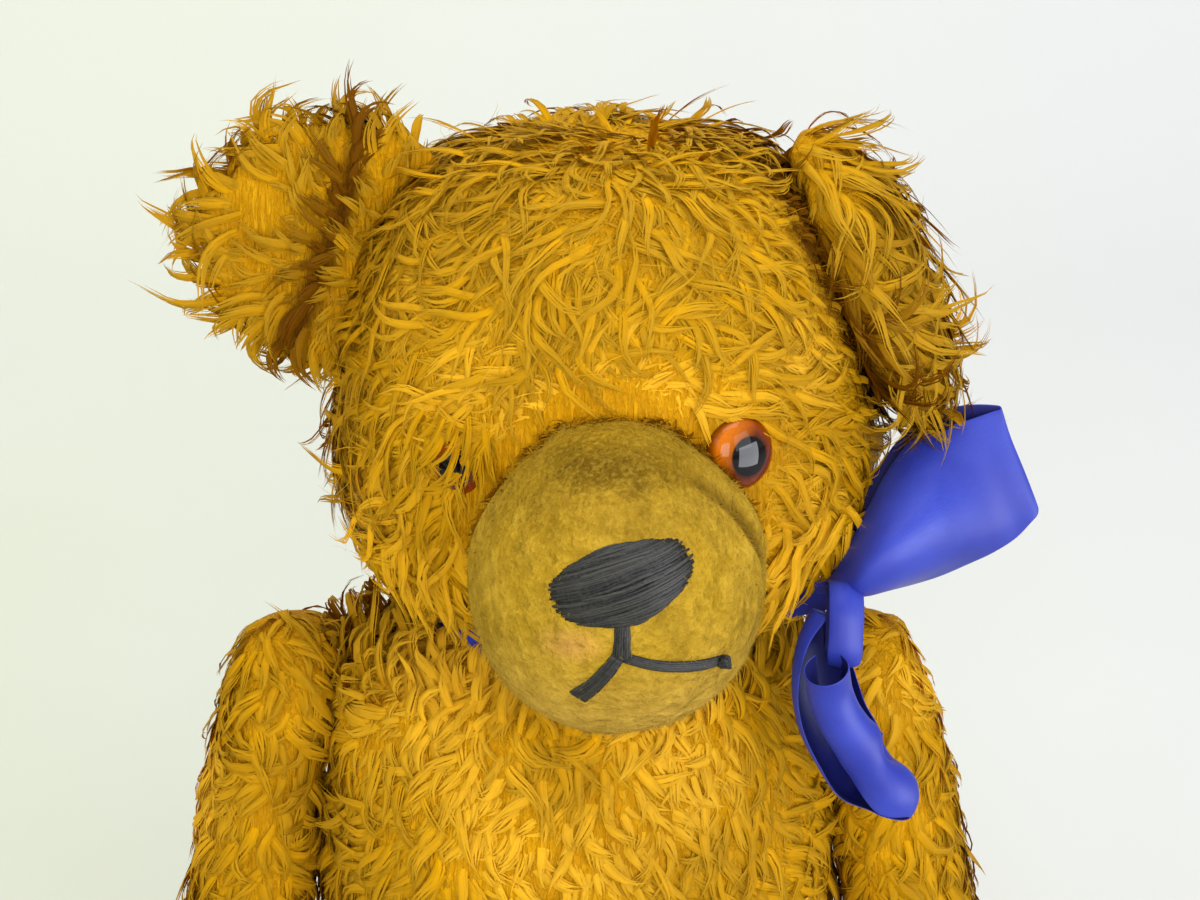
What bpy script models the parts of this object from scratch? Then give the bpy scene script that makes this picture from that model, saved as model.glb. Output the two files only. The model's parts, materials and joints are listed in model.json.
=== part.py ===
# A jointed, stuffed teddy bear that sits on the flat of its body, with its legs out in front.
# Metres, +Z up. The bear faces -Y and its own left is +X. The origin is on the seat, under
# the neck. Five disc joints (neck, shoulders, hips) each hold two board discs and two steel
# washers on a cotter pin, in pockets just under the cloth on either side of the joint.

import math

import bmesh
import bpy
from mathutils import Euler, Matrix, Vector

MM = 0.001
GAP = 0.3 * MM            # air between touching pieces
FACE_GAP = 0.2 * MM       # from the plane of a disc joint to the cloth on either side

# Driving dimensions
NECK_HEIGHT = 195 * MM
HEAD_CENTRE = Vector((7, 0, 63)) * MM          # from the neck joint; the head sits off centre
SHOULDER_PLACE = Vector((64, 0, 166)) * MM
SHOULDER_TILT = math.radians(7)                # the shoulder discs face slightly upwards
HIP_PLACE = Vector((43, 0, 38)) * MM
HIP_TILT = math.radians(-8)                    # the hip discs face slightly downwards
THIGH_REACH = 39 * MM                          # the belly is pressed flat this far round a hip
LEG_LENGTH = 152 * MM                          # hip joint to sole
SOLE_CENTRE = Vector((22, 0, 1)) * MM          # from the hip joint
EYE_RADIUS = 8 * MM
RIBBON_WIDTH = 29                              # in millimetres, as the ribbon's places are

# Disc joint hardware, along its axis, measured from the plane of the joint
CLOTH = 1.5 * MM
DISC_THICKNESS = 3 * MM
WASHER_RADIUS = 8 * MM
WASHER_THICKNESS = 1 * MM
PIN_RADIUS = 1.4 * MM
PIN_EYE_RADIUS = 3.2 * MM
PIN_WIRE = 1.1 * MM
PIN_CURL = 2 * MM         # radius of the two curled ends
END_ROOM = 9 * MM         # depth of the pocket behind the washer, for the ends of the pin

# Rings of the soft forms, top or near end first, in millimetres:
# (place along the form, half width, half depth, centre across, centre in depth)
TORSO_RINGS = [
    (195, 12, 12, 0, 0), (195, 24, 24, 0, 0), (193.5, 44, 34, 0, 0), (187, 64, 44, 0, 0),
    (174, 70, 52, 0, 0), (150, 70, 57, 0, 0), (120, 72.5, 61, 0, 0), (90, 70, 63, 0, 0),
    (62, 60, 62, 0, 0), (36, 54, 58, 0, 0), (14, 46, 51, 0, 0), (3, 37, 43, 0, 0),
    (0, 30, 35, 0, 0), (0, 15, 17, 0, 0),
]
HEAD_RINGS = [
    (62, 14, 13, 0, 3), (61, 36, 31, 0, 3), (53, 52, 46, 0, 2), (37, 63, 57, 0, 1),
    (16, 70, 64, 0, 0), (-6, 73, 66, 0, 0), (-28, 73.5, 64, 0, 0), (-44, 67, 57, 0, 1),
    (-55, 54, 47, 0, 3), (-62, 37, 35, 0, 4), (-67, 20, 20, 0, 4),
]
ARM_RINGS = [
    (26, 8, 8, 11, 0), (22.5, 14, 16, 11.5, 0), (8, 18.5, 24, 12.5, 0), (-20, 20.5, 26, 14.5, 0),
    (-60, 20, 24, 16.5, -1), (-100, 18.5, 22, 18, -3), (-126, 16, 19, 18, -7),
    (-136, 7, 8, 18, -8),
]
LEG_RINGS = [
    (-30, 8, 9, 15, 0), (-24, 16, 20, 14, 0), (-5, 20.5, 30, 13.5, -1), (22, 20.5, 31, 13.5, -3),
    (62, 20, 28, 15.5, -7), (104, 23, 25, 20, -11), (129, 24, 30, 22, -7), (144, 24, 38, 22, 1),
    (152, 21, 35, 22, 1), (152, 10, 17, 22, 1),
]
MUZZLE_CENTRE = Vector((2.5, -61, -28)) * MM   # from the head's centre
MUZZLE_RADII = Vector((36.5, 43, 36.5)) * MM

GOLD = (0.55, 0.27, 0.03)
OLIVE = (0.36, 0.22, 0.05)


# ---------------------------------------------------------------- objects and materials

def fresh_collection(name):
    collection = bpy.data.collections.new(name)
    bpy.context.scene.collection.children.link(collection)
    return collection


def principled(name, colour, roughness, metallic=0.0):
    material = bpy.data.materials.new(name)
    material.use_nodes = True
    shader = material.node_tree.nodes["Principled BSDF"]
    shader.inputs["Base Color"].default_value = (*colour, 1)
    shader.inputs["Roughness"].default_value = roughness
    shader.inputs["Metallic"].default_value = metallic
    return material


def make_object(name, data, parent=None, location=(0, 0, 0), rotation=(0, 0, 0), group=None):
    made = bpy.data.objects.new(name, data)
    (group or PARTS).objects.link(made)
    made.parent = parent
    made.location = location
    made.rotation_euler = rotation
    return made


def make_piece(name, mesh, material, parent, location=(0, 0, 0), rotation=(0, 0, 0)):
    mesh.materials.clear()
    mesh.materials.append(material)
    mesh.shade_smooth()
    mesh.set_sharp_from_angle(angle=math.radians(40))
    return make_object(name, mesh, parent, location, rotation)


def make_cutter(name, mesh, parent, location=(0, 0, 0), rotation=(0, 0, 0)):
    cutter = make_object(name, mesh, parent, location, rotation, CUTTERS)
    cutter.hide_render = True
    cutter.display_type = "WIRE"
    return cutter


def combine(target, other, operation="DIFFERENCE"):
    boolean = target.modifiers.new(other.name, "BOOLEAN")
    boolean.operation = operation
    boolean.object = other


def joint_empty(name, location, tilt=0.0):
    empty = make_object(name, None, None, location, (0, tilt, 0))
    empty.empty_display_size = 0.02
    return empty


# ---------------------------------------------------------------- meshes

def evaluated_mesh(source):
    """The object's mesh with its modifiers applied; the object itself is removed."""
    graph = bpy.context.evaluated_depsgraph_get()
    mesh = bpy.data.meshes.new_from_object(source.evaluated_get(graph))
    bpy.data.objects.remove(source)
    return mesh


def mesh_from(bm, name):
    mesh = bpy.data.meshes.new(name)
    bm.to_mesh(mesh)
    bm.free()
    return mesh


def ringed_form(name, rings, segments, forward=False):
    """A closed soft form through the rings, smoothed once, along Z, or along -Y if forward."""
    bm = bmesh.new()
    spans = len(rings) + 1
    bmesh.ops.create_uvsphere(bm, u_segments=segments, v_segments=spans, radius=1)
    for vert in bm.verts:
        step = round(math.acos(max(-1, min(1, vert.co.z))) / math.pi * spans)
        place, half_x, half_y, mid_x, mid_y = rings[min(max(step - 1, 0), len(rings) - 1)]
        out = Vector((vert.co.x, vert.co.y))
        out = out.normalized() if 0 < step < spans else Vector((0, 0))
        vert.co = Vector((mid_x + half_x * out.x, mid_y + half_y * out.y, place)) * MM
    if forward:
        # these rings run from the low end up, which turns the faces in, and then lie along -Y
        bmesh.ops.reverse_faces(bm, faces=bm.faces)
        for vert in bm.verts:
            vert.co = Vector((vert.co.x, -vert.co.z, vert.co.y))
    cage = make_object(name, mesh_from(bm, name))
    smooth = cage.modifiers.new("smooth", "SUBSURF")
    smooth.levels = smooth.render_levels = 1
    return evaluated_mesh(cage)


def mirrored_rings(rings, side):
    return [(place, wide, deep, side * mid, mid_deep) for place, wide, deep, mid, mid_deep in rings]


def flatten(mesh, place, outward, reach=math.inf, bulge=0.5):
    """Presses the form flat at the plane through place; past reach it bulges over the plane."""
    outward = outward.normalized()
    for vert in mesh.vertices:
        beyond = (vert.co - place).dot(outward)
        round_joint = vert.co - place - outward * beyond
        allowed = max(0, round_joint.length - reach) * bulge
        vert.co -= outward * max(0, beyond - allowed)


def grown(mesh, distance):
    """A copy of the mesh, moved out along its normals."""
    copy = mesh.copy()
    outward = [vert.normal.copy() for vert in copy.vertices]
    for vert, normal in zip(copy.vertices, outward):
        vert.co += normal * distance
    return copy


def ball(name, radii, centre=(0, 0, 0), rotation=(0, 0, 0), segments=16, rings=10):
    bm = bmesh.new()
    bmesh.ops.create_uvsphere(bm, u_segments=segments, v_segments=rings, radius=1)
    bm.transform(Matrix.LocRotScale(Vector(centre), Euler(rotation), Vector(radii)))
    return mesh_from(bm, name)


def turned(name, profile, steps=16, closed=False):
    """A solid turned about Z from (radius, height) points, top first. An open profile starts
    and ends on the axis; a closed one makes a ring."""
    mesh = bpy.data.meshes.new(name)
    points = [(radius, 0, height) for radius, height in profile]
    edges = [(i, i + 1) for i in range(len(points) - 1)]
    if closed:
        edges.append((len(points) - 1, 0))
    mesh.from_pydata(points, edges, [])
    outline = make_object(name, mesh)
    screw = outline.modifiers.new("turn", "SCREW")
    screw.steps = screw.render_steps = steps
    screw.use_merge_vertices = True
    screw.merge_threshold = 0.01 * MM
    return evaluated_mesh(outline)


def washer(name, radius, hole, thickness, steps=16):
    """A flat ring between z = 0 and z = thickness."""
    outline = [(hole, thickness), (radius, thickness), (radius, 0), (hole, 0)]
    return turned(name, outline, steps, closed=True)


def wire_mesh(name, points, radius, taper=None):
    """A round wire with closed ends through the points; taper scales the radius point by point."""
    data = bpy.data.curves.new(name, "CURVE")
    data.dimensions = "3D"
    data.bevel_depth = radius
    data.bevel_resolution = 1
    data.use_fill_caps = True
    spline = data.splines.new("POLY")
    spline.points.add(len(points) - 1)
    for index, point in enumerate(points):
        spline.points[index].co = (*point, 1)
        spline.points[index].radius = taper[index] if taper else 1
    mesh = evaluated_mesh(make_object(name, data))
    bm = bmesh.new()
    bm.from_mesh(mesh)
    bmesh.ops.remove_doubles(bm, verts=bm.verts, dist=0.001 * MM)
    bmesh.ops.recalc_face_normals(bm, faces=bm.faces)
    bm.to_mesh(mesh)
    bm.free()
    return mesh


# ---------------------------------------------------------------- disc joints

def pocket_profile(disc_radius):
    """The hollow that one side of a joint needs: pin hole, disc room, washer room, on +Z."""
    disc_start = FACE_GAP + CLOTH
    disc_end = disc_start + DISC_THICKNESS + 2 * GAP
    pocket_end = disc_end + WASHER_THICKNESS + END_ROOM
    hole, room = PIN_RADIUS + GAP, WASHER_RADIUS + GAP
    profile = [(0, -1 * MM), (hole, -1 * MM), (hole, disc_start), (disc_radius + GAP, disc_start),
               (disc_radius + GAP, disc_end), (room, disc_end), (room, pocket_end), (0, pocket_end)]
    return profile[::-1]


def pin_mesh():
    """A cotter pin along Z: its eye in the limb at +Z, its two ends curled back in the body."""
    washer_face = FACE_GAP + CLOTH + DISC_THICKNESS + WASHER_THICKNESS + 3 * GAP
    eye_height = washer_face + PIN_EYE_RADIUS + PIN_WIRE
    curl_height = -(washer_face + PIN_WIRE + PIN_CURL)
    shaft = wire_mesh("pin_shaft", [(0, 0, curl_height), (0, 0, eye_height - PIN_EYE_RADIUS)],
                      PIN_RADIUS)
    bpy.ops.mesh.primitive_torus_add(
        major_radius=PIN_EYE_RADIUS, minor_radius=PIN_WIRE, major_segments=10, minor_segments=4,
        location=(0, 0, eye_height), rotation=(math.pi / 2, 0, 0))
    eye = bpy.context.object
    curls = []
    for side in (-1, 1):
        turns = [math.radians(angle) for angle in range(-90, 151, 60)]
        arc = [(side * (0.3 * MM + PIN_CURL * (1 + math.sin(turn))),
                0, curl_height - PIN_CURL * math.cos(turn)) for turn in turns]
        curls.append(wire_mesh("pin_curl", arc, PIN_WIRE))
    whole = make_object("pin_whole", shaft)
    extras = [eye, *(make_object("pin_curl", curl) for curl in curls)]
    for extra in extras:
        combine(whole, extra, "UNION")
    mesh = evaluated_mesh(whole)
    for extra in extras:
        bpy.data.objects.remove(extra)
    return mesh


def disc_joint(name, limb_word, torso, limb, empty, outward, disc_radius):
    """Cuts the two pockets of a joint and puts its discs, washers and pin in them."""
    turn = Vector((0, 0, 1)).rotation_difference(outward).to_euler()
    inward_turn = Vector((0, 0, 1)).rotation_difference(-outward).to_euler()
    pocket = turned(f"{name}_pocket", pocket_profile(disc_radius))
    combine(limb, make_cutter(f"{name}_{limb_word}_pocket", pocket, empty, rotation=turn))
    combine(torso, make_cutter(f"{name}_body_pocket", pocket, empty, rotation=inward_turn))

    hole = PIN_RADIUS + GAP
    disc_start = FACE_GAP + CLOTH + GAP
    washer_start = disc_start + DISC_THICKNESS + GAP
    disc = washer(f"{name}_disc", disc_radius, hole, DISC_THICKNESS)
    ring = washer(f"{name}_washer", WASHER_RADIUS, hole, WASHER_THICKNESS, steps=10)
    for word, direction, rotation in ((limb_word, outward, turn), ("body", -outward, inward_turn)):
        make_piece(f"{name}_{word}_disc", disc, BOARD, empty, direction * disc_start, rotation)
        make_piece(f"{name}_{word}_washer", ring, STEEL, empty, direction * washer_start, rotation)
    make_piece(f"{name}_cotter_pin", PIN, STEEL, empty, rotation=turn)


# ---------------------------------------------------------------- head

def build_head(neck):
    """The head's skin, and the form that the pieces on it are fitted to."""
    form = ringed_form("head_form", HEAD_RINGS, 12)
    form.transform(Matrix.Translation(HEAD_CENTRE))
    flatten(form, Vector((0, 0, FACE_GAP)), Vector((0, 0, -1)))
    fitting = grown(form, GAP)
    return make_piece("head", form, PLUSH, neck), fitting


def fitted_pad(name, mesh, material, parent, *forms):
    """A pad whose back takes the shape of the forms it lies on."""
    pad = make_piece(name, mesh, material, parent)
    for index, form in enumerate(forms):
        combine(pad, make_cutter(f"{name}_seat_{index}", form, parent))
    return pad


def build_muzzle(neck, head_fitting):
    form = ball("muzzle", MUZZLE_RADII, segments=22, rings=12)
    for vert in form.vertices:
        height = max(0, vert.co.z / MUZZLE_RADII.z)
        vert.co.x *= 1 - 0.16 * height ** 2      # narrower between the eyes
    form.transform(Matrix.Translation(HEAD_CENTRE + MUZZLE_CENTRE))
    fitting = grown(form, GAP)
    return fitted_pad("muzzle", form, SHEARED_PLUSH, neck, head_fitting), fitting


def build_ears(neck, head_fitting):
    """The right ear stands up and is cupped; the left one is folded down over the head's side."""
    standing = ball("ear_right", Vector((42, 5.5, 34)) * MM, segments=18, rings=10)
    for vert in standing.vertices:
        across = (vert.co.x ** 2 + vert.co.z ** 2) / (38 * MM) ** 2
        vert.co.y -= 9 * MM * across      # the rim curls to the front
    place = HEAD_CENTRE + Vector((-62, -2, 33)) * MM
    lean = Euler((0, math.radians(24), math.radians(12)))
    standing.transform(Matrix.LocRotScale(place, lean, None))
    fitted_pad("ear_right", standing, PLUSH, neck, head_fitting)

    place = HEAD_CENTRE + Vector((64, -3, 27)) * MM
    lean = Euler((math.radians(-8), math.radians(-26), math.radians(-10)))
    flap = ball("ear_left", Vector((14, 24, 40)) * MM, place, lean, segments=18, rings=10)
    fitted_pad("ear_left", flap, PLUSH, neck, head_fitting)


def glass_eye_profile(grow=0.0):
    """A domed button: flat back with a rounded rim, on +Z; grow enlarges it into its seat."""
    rim = 1.6 * MM
    dome = [math.radians(angle) for angle in range(0, 90, 22)]
    height = 4.2 * MM + grow
    front = [((EYE_RADIUS + grow) * math.cos(turn), rim + height * math.sin(turn)) for turn in dome]
    return [(0, rim + height), *front[::-1], (EYE_RADIUS - 1 * MM + grow, -grow), (0, -grow)]


def eye_socket_profile():
    """The flared socket of an eye, with the room for its shank behind it, on +Z."""
    seat, shank_room = EYE_RADIUS + GAP, 3.4 * MM
    return [(0, 12 * MM), (seat + 2.2 * MM, 12 * MM), (seat, 1.6 * MM), (seat - 1 * MM, -GAP),
            (shank_room, -GAP), (shank_room, -14 * MM), (0, -14 * MM)]


def build_eye(name, neck, head, muzzle, on_head, look, sunk):
    """A glass eye in a shallow seat, with its wire shank in the stuffing behind it."""
    look = Vector(look).normalized()
    turn = Vector((0, 0, 1)).rotation_difference(look).to_euler()
    place = HEAD_CENTRE + Vector(on_head) * MM - look * sunk
    side = name.split("_")[1]
    socket = turned(f"{name}_socket", eye_socket_profile())
    combine(head, make_cutter(f"{name}_socket", socket, neck, place, turn))
    rim = turned(f"{name}_rim", glass_eye_profile(GAP))
    combine(muzzle, make_cutter(f"{name}_rim", rim, neck, place, turn))
    make_piece(name, turned(name, glass_eye_profile()), GLASS, neck, place, turn)
    loop = [math.radians(angle) for angle in range(90, -211, -50)]
    ring = [(2.1 * MM * math.cos(turn), 0, -9.5 * MM + 2.1 * MM * math.sin(turn)) for turn in loop]
    shank = wire_mesh(f"eye_shank_{side}", [(0, 0, -GAP), (0, 0, -4 * MM), *ring], 0.6 * MM)
    make_piece(f"eye_shank_{side}", shank, STEEL, neck, place, turn)


def on_muzzle(across, up, lift):
    """The point in front of the muzzle's centre, this far across and up, lifted off its cloth."""
    radii = MUZZLE_RADII + Vector((lift, lift, lift))
    depth = math.sqrt(max(0, 1 - (across / radii.x) ** 2 - (up / radii.z) ** 2))
    return HEAD_CENTRE + MUZZLE_CENTRE + Vector((across, -radii.y * depth, up))


def stitch(name, start, end, radius, neck, taper=(0.6, 1, 1, 1, 0.6)):
    """One long stitch of thick thread, laid over the muzzle between two (across, up) points."""
    points = []
    for index in range(len(taper)):
        share = index / (len(taper) - 1)
        across, up = (start[axis] + (end[axis] - start[axis]) * share for axis in (0, 1))
        points.append(on_muzzle(across * MM, up * MM, radius + 2 * GAP))
    make_piece(name, wire_mesh(name, points, radius, taper), THREAD, neck)


def build_face(neck, head, muzzle, muzzle_fitting):
    build_eye("eye_left", neck, head, muzzle, (33, -55.5, -2.5), (0.52, -0.84, 0.10), 1.5 * MM)
    build_eye("eye_right", neck, head, muzzle, (-36.5, -53, -7), (-0.42, -0.90, 0.05), 4 * MM)
    centre = on_muzzle(1 * MM, 12 * MM, 0)
    nose = ball("nose_stitching", Vector((15.5, 3.4, 8.2)) * MM, centre,
                (math.radians(16), math.radians(-18), 0), 18, 8)
    fitted_pad("nose_stitching", nose, THREAD, neck, muzzle_fitting)
    stitch("mouth_stitch_centre", (1.2, 1.5), (1.2, -3.5), 1.7 * MM, neck)
    stitch("mouth_stitch_right", (-0.6, -6.5), (-8, -15.5), 1.8 * MM, neck)
    stitch("mouth_stitch_left", (4.2, -5), (25, -8), 1.3 * MM, neck)


# ---------------------------------------------------------------- limbs

def build_arm(side, empty):
    name = "arm_left" if side > 0 else "arm_right"
    form = ringed_form(name, mirrored_rings(ARM_RINGS, side), 12)
    flatten(form, Vector((side * FACE_GAP, 0, 0)), Vector((-side, 0, 0)))
    fitting = grown(form, GAP)
    arm = make_piece(name, form, PLUSH, empty)
    pad = ball(name.replace("arm", "paw_pad"), Vector((11, 8, 19)) * MM,
               Vector((side * 17, -20.5, -110)) * MM, (math.radians(-4), 0, 0), 16, 8)
    fitted_pad(name.replace("arm", "paw_pad"), pad, FELT, empty, fitting)
    return arm


def build_leg(side, empty):
    name = "leg_left" if side > 0 else "leg_right"
    form = ringed_form(name, mirrored_rings(LEG_RINGS, side), 12, forward=True)
    flatten(form, Vector((side * FACE_GAP, 0, 0)), Vector((-side, 0, 0)))
    leg = make_piece(name, form, PLUSH, empty)
    bm = bmesh.new()
    bmesh.ops.create_cone(bm, cap_ends=True, segments=16, radius1=1, radius2=1, depth=1)
    bm.transform(Matrix.Diagonal((18.5 * MM, 31 * MM, 1.6 * MM, 1)))
    sole = make_piece(name.replace("leg", "foot_pad"), mesh_from(bm, "foot_pad"), FELT, empty,
                      (side * SOLE_CENTRE.x, -LEG_LENGTH - GAP - 0.8 * MM, SOLE_CENTRE.z),
                      (math.pi / 2, 0, 0))
    edge = sole.modifiers.new("edge", "BEVEL")
    edge.width = 0.5 * MM
    edge.segments = 2
    return leg


# ---------------------------------------------------------------- ribbon

def ribbon_lobe(name, start, end, across, widths, thickness):
    """A flattened loop of ribbon from start to end; across is the way its width runs."""
    start, end = Vector(start) * MM, Vector(end) * MM
    along = (end - start).normalized()
    across = Vector(across)
    across = (across - along * across.dot(along)).normalized()
    normal = along.cross(across)
    bm = bmesh.new()
    bmesh.ops.create_cube(bm, size=1)
    for vert in bm.verts:
        far = vert.co.x > 0
        centre = end if far else start
        width = widths[1] if far else widths[0]
        vert.co = centre + across * (vert.co.y * width * MM) + normal * (vert.co.z * thickness)
    lobe = make_object(name, mesh_from(bm, name))
    edge = lobe.modifiers.new("edge", "BEVEL")
    edge.width = 1.5 * MM
    edge.segments = 2
    return make_object(name, evaluated_mesh(lobe))


def build_ribbon(neck, head_fitting, torso_fitting):
    """The ribbon tied round the neck: its band, its knot by the left cheek and its two loops."""
    bpy.ops.mesh.primitive_torus_add(
        major_radius=39 * MM, minor_radius=2.4 * MM, major_segments=28, minor_segments=6,
        location=(0, 0, NECK_HEIGHT - 0.2 * MM))
    band = bpy.context.object
    band.data.transform(band.matrix_basis)
    band.matrix_basis = Matrix.Identity(4)
    knot = (63, -27, 206)
    extras = [
        make_object("knot", ball("knot", Vector((7, 6, 9)) * MM, Vector(knot) * MM)),
        ribbon_lobe("tuck", (36, -15, 195), knot, (0, 0, 1), (5, 10), 5 * MM),
        ribbon_lobe("upper_loop", knot, (108, -15, 237), (0.3, 0, -1), (12, RIBBON_WIDTH), 6 * MM),
        ribbon_lobe("lower_loop", knot, (73, -40, 162), (1, 0, 0.3), (16, RIBBON_WIDTH), 9 * MM),
    ]
    for extra in extras:
        combine(band, extra, "UNION")
    mesh = evaluated_mesh(band)
    for extra in extras:
        bpy.data.objects.remove(extra)
    ribbon = make_piece("neck_ribbon", mesh, SATIN, None)
    combine(ribbon, make_cutter("neck_ribbon_cheek", head_fitting, neck))
    combine(ribbon, make_cutter("neck_ribbon_shoulder", torso_fitting, None))


# ---------------------------------------------------------------- assembly

for old in list(bpy.data.objects):
    bpy.data.objects.remove(old)

PARTS = fresh_collection("teddy_bear")
CUTTERS = fresh_collection("cutters")

PLUSH = principled("gold_plush", GOLD, 0.9)
SHEARED_PLUSH = principled("sheared_plush", OLIVE, 0.95)
FELT = principled("pad_cloth", OLIVE, 0.95)
GLASS = principled("amber_glass", (0.45, 0.13, 0.01), 0.05)
THREAD = principled("charcoal_thread", (0.04, 0.04, 0.045), 0.6)
SATIN = principled("blue_satin", (0.04, 0.07, 0.55), 0.35)
BOARD = principled("joint_board", (0.30, 0.20, 0.11), 0.85)
STEEL = principled("steel", (0.55, 0.55, 0.55), 0.35, 1.0)
PIN = pin_mesh()

torso_form = ringed_form("torso", TORSO_RINGS, 12)
for side in (-1, 1):
    for place, tilt, reach in ((SHOULDER_PLACE, SHOULDER_TILT, math.inf),
                               (HIP_PLACE, HIP_TILT, THIGH_REACH)):
        facing = Vector((side * math.cos(tilt), 0, math.sin(tilt)))
        pressed = Vector((side * place.x, 0, place.z)) - facing * FACE_GAP
        flatten(torso_form, pressed, facing, reach)
flatten(torso_form, Vector((0, 0, NECK_HEIGHT - FACE_GAP)), Vector((0, 0, 1)))
torso_fitting = grown(torso_form, GAP)
torso = make_piece("torso", torso_form, PLUSH, None)

neck = joint_empty("neck_joint", (0, 0, NECK_HEIGHT))
head, head_fitting = build_head(neck)
muzzle, muzzle_fitting = build_muzzle(neck, head_fitting)
build_ears(neck, head_fitting)
build_face(neck, head, muzzle, muzzle_fitting)
disc_joint("neck", "head", torso, head, neck, Vector((0, 0, 1)), 20 * MM)

for side, word in ((1, "left"), (-1, "right")):
    place = Vector((side * SHOULDER_PLACE.x, 0, SHOULDER_PLACE.z))
    shoulder = joint_empty(f"shoulder_{word}_joint", place, -side * SHOULDER_TILT)
    arm = build_arm(side, shoulder)
    disc_joint(f"shoulder_{word}", "arm", torso, arm, shoulder, Vector((side, 0, 0)), 15 * MM)

    place = Vector((side * HIP_PLACE.x, 0, HIP_PLACE.z))
    hip = joint_empty(f"hip_{word}_joint", place, -side * HIP_TILT)
    leg = build_leg(side, hip)
    disc_joint(f"hip_{word}", "leg", torso, leg, hip, Vector((side, 0, 0)), 17 * MM)

build_ribbon(neck, head_fitting, torso_fitting)
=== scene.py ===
# A worn mohair teddy bear sitting on a pale studio floor: stuffed skins, locks of fur, a sheared
# muzzle, glass eyes, stitched nose and mouth, and a satin bow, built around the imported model.
import json
import math

import bmesh
import bpy
import numpy as np
from mathutils import Matrix, Vector, noise
from mathutils.bvhtree import BVHTree


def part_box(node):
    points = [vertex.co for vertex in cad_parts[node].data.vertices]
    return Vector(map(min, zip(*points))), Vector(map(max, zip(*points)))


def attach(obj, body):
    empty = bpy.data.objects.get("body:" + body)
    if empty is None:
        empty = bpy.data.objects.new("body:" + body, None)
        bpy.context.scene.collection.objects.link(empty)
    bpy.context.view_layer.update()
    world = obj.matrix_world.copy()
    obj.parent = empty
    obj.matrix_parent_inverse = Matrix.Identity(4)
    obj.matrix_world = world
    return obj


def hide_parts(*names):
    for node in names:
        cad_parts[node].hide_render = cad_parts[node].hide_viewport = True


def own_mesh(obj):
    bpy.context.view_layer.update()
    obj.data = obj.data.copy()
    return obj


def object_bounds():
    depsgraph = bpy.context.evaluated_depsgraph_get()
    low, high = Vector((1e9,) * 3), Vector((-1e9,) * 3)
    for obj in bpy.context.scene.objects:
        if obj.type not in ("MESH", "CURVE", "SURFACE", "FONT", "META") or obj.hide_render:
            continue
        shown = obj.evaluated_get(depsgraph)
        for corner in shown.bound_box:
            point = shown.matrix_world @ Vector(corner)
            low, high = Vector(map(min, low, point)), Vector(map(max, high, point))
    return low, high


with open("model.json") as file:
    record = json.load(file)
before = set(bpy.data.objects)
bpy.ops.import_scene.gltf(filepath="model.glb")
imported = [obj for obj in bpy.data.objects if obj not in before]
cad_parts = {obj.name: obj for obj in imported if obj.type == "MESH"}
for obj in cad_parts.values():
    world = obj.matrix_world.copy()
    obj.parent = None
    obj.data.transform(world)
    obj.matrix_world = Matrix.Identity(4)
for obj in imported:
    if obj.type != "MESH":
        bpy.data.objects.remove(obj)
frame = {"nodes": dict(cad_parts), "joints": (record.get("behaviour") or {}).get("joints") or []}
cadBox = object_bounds()
noise.seed_set(5)   # the coat curls the same way every time
scene = bpy.context.scene
mm = 0.001
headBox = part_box("head")
headCentre = (Vector(headBox[0]) + Vector(headBox[1])) / 2


def deselectAll():
    for each in list(bpy.context.selected_objects):
        each.select_set(False)


def makeActive(piece):
    deselectAll()
    piece.select_set(True)
    bpy.context.view_layer.objects.active = piece


def applyModifiers(piece):
    makeActive(piece)
    for modifier in list(piece.modifiers):
        bpy.ops.object.modifier_apply(modifier=modifier.name)


def linkObject(name, mesh):
    made = bpy.data.objects.new(name, mesh)
    scene.collection.objects.link(made)
    return made


def smoothShade(piece):
    piece.data.shade_smooth()


def giveMaterial(piece, *materials):
    piece.data.materials.clear()
    for each in materials:
        piece.data.materials.append(each)


def coordinates(mesh):
    flat = np.empty(len(mesh.vertices) * 3)
    mesh.vertices.foreach_get("co", flat)
    return flat.reshape(-1, 3)


def vertexNormals(mesh):
    flat = np.empty(len(mesh.vertices) * 3)
    mesh.vertex_normals.foreach_get("vector", flat)
    return flat.reshape(-1, 3)


def setCoordinates(mesh, points):
    mesh.vertices.foreach_set("co", np.asarray(points, dtype=float).ravel())
    mesh.update()


studio = {
    "elevation": 20, "distance": 750 * mm, "lens": 90, "aimFromHead": (-1.25, -6.84, -18.4),
    "floorHalf": 5.0, "sweepStart": 0.9, "sweepRadius": 0.7, "sweepHeight": 2.0,
    # the floor colours below carry painted light and shade: darker near the front, greener on the left,
    # cooler on the right
    "farLeft": (0.73, 0.745, 0.665), "farRight": (0.72, 0.715, 0.735),
    "nearLeft": (0.505, 0.53, 0.415), "nearRight": (0.60, 0.59, 0.605), "cloud": (0.71, 0.72, 0.71),
    "airColour": (0.97, 1.0, 0.97), "airStrength": 0.74,
}
lamps = {
    "frontLight": {"at": (0.12, -1.5, 0.6), "size": 0.8, "power": 13.5, "colour": (1.0, 0.99, 0.96)},
    "windowLight": {"at": (1.1, -0.9, 0.8), "size": 0.9, "power": 8, "colour": (0.90, 0.95, 1.0)},
    "roomLight": {"at": (-1.2, -0.8, 0.8), "size": 1.2, "power": 5, "colour": (1.0, 1.0, 0.86)},
    "topLight": {"at": (0.0, 0.1, 1.7), "size": 1.2, "power": 16, "colour": (1.0, 1.0, 0.98)},
    "paneLight": {"at": (0.55, -0.33, 0.15), "size": 0.42, "power": 6, "colour": (0.9, 0.93, 1.0)},
}


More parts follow.
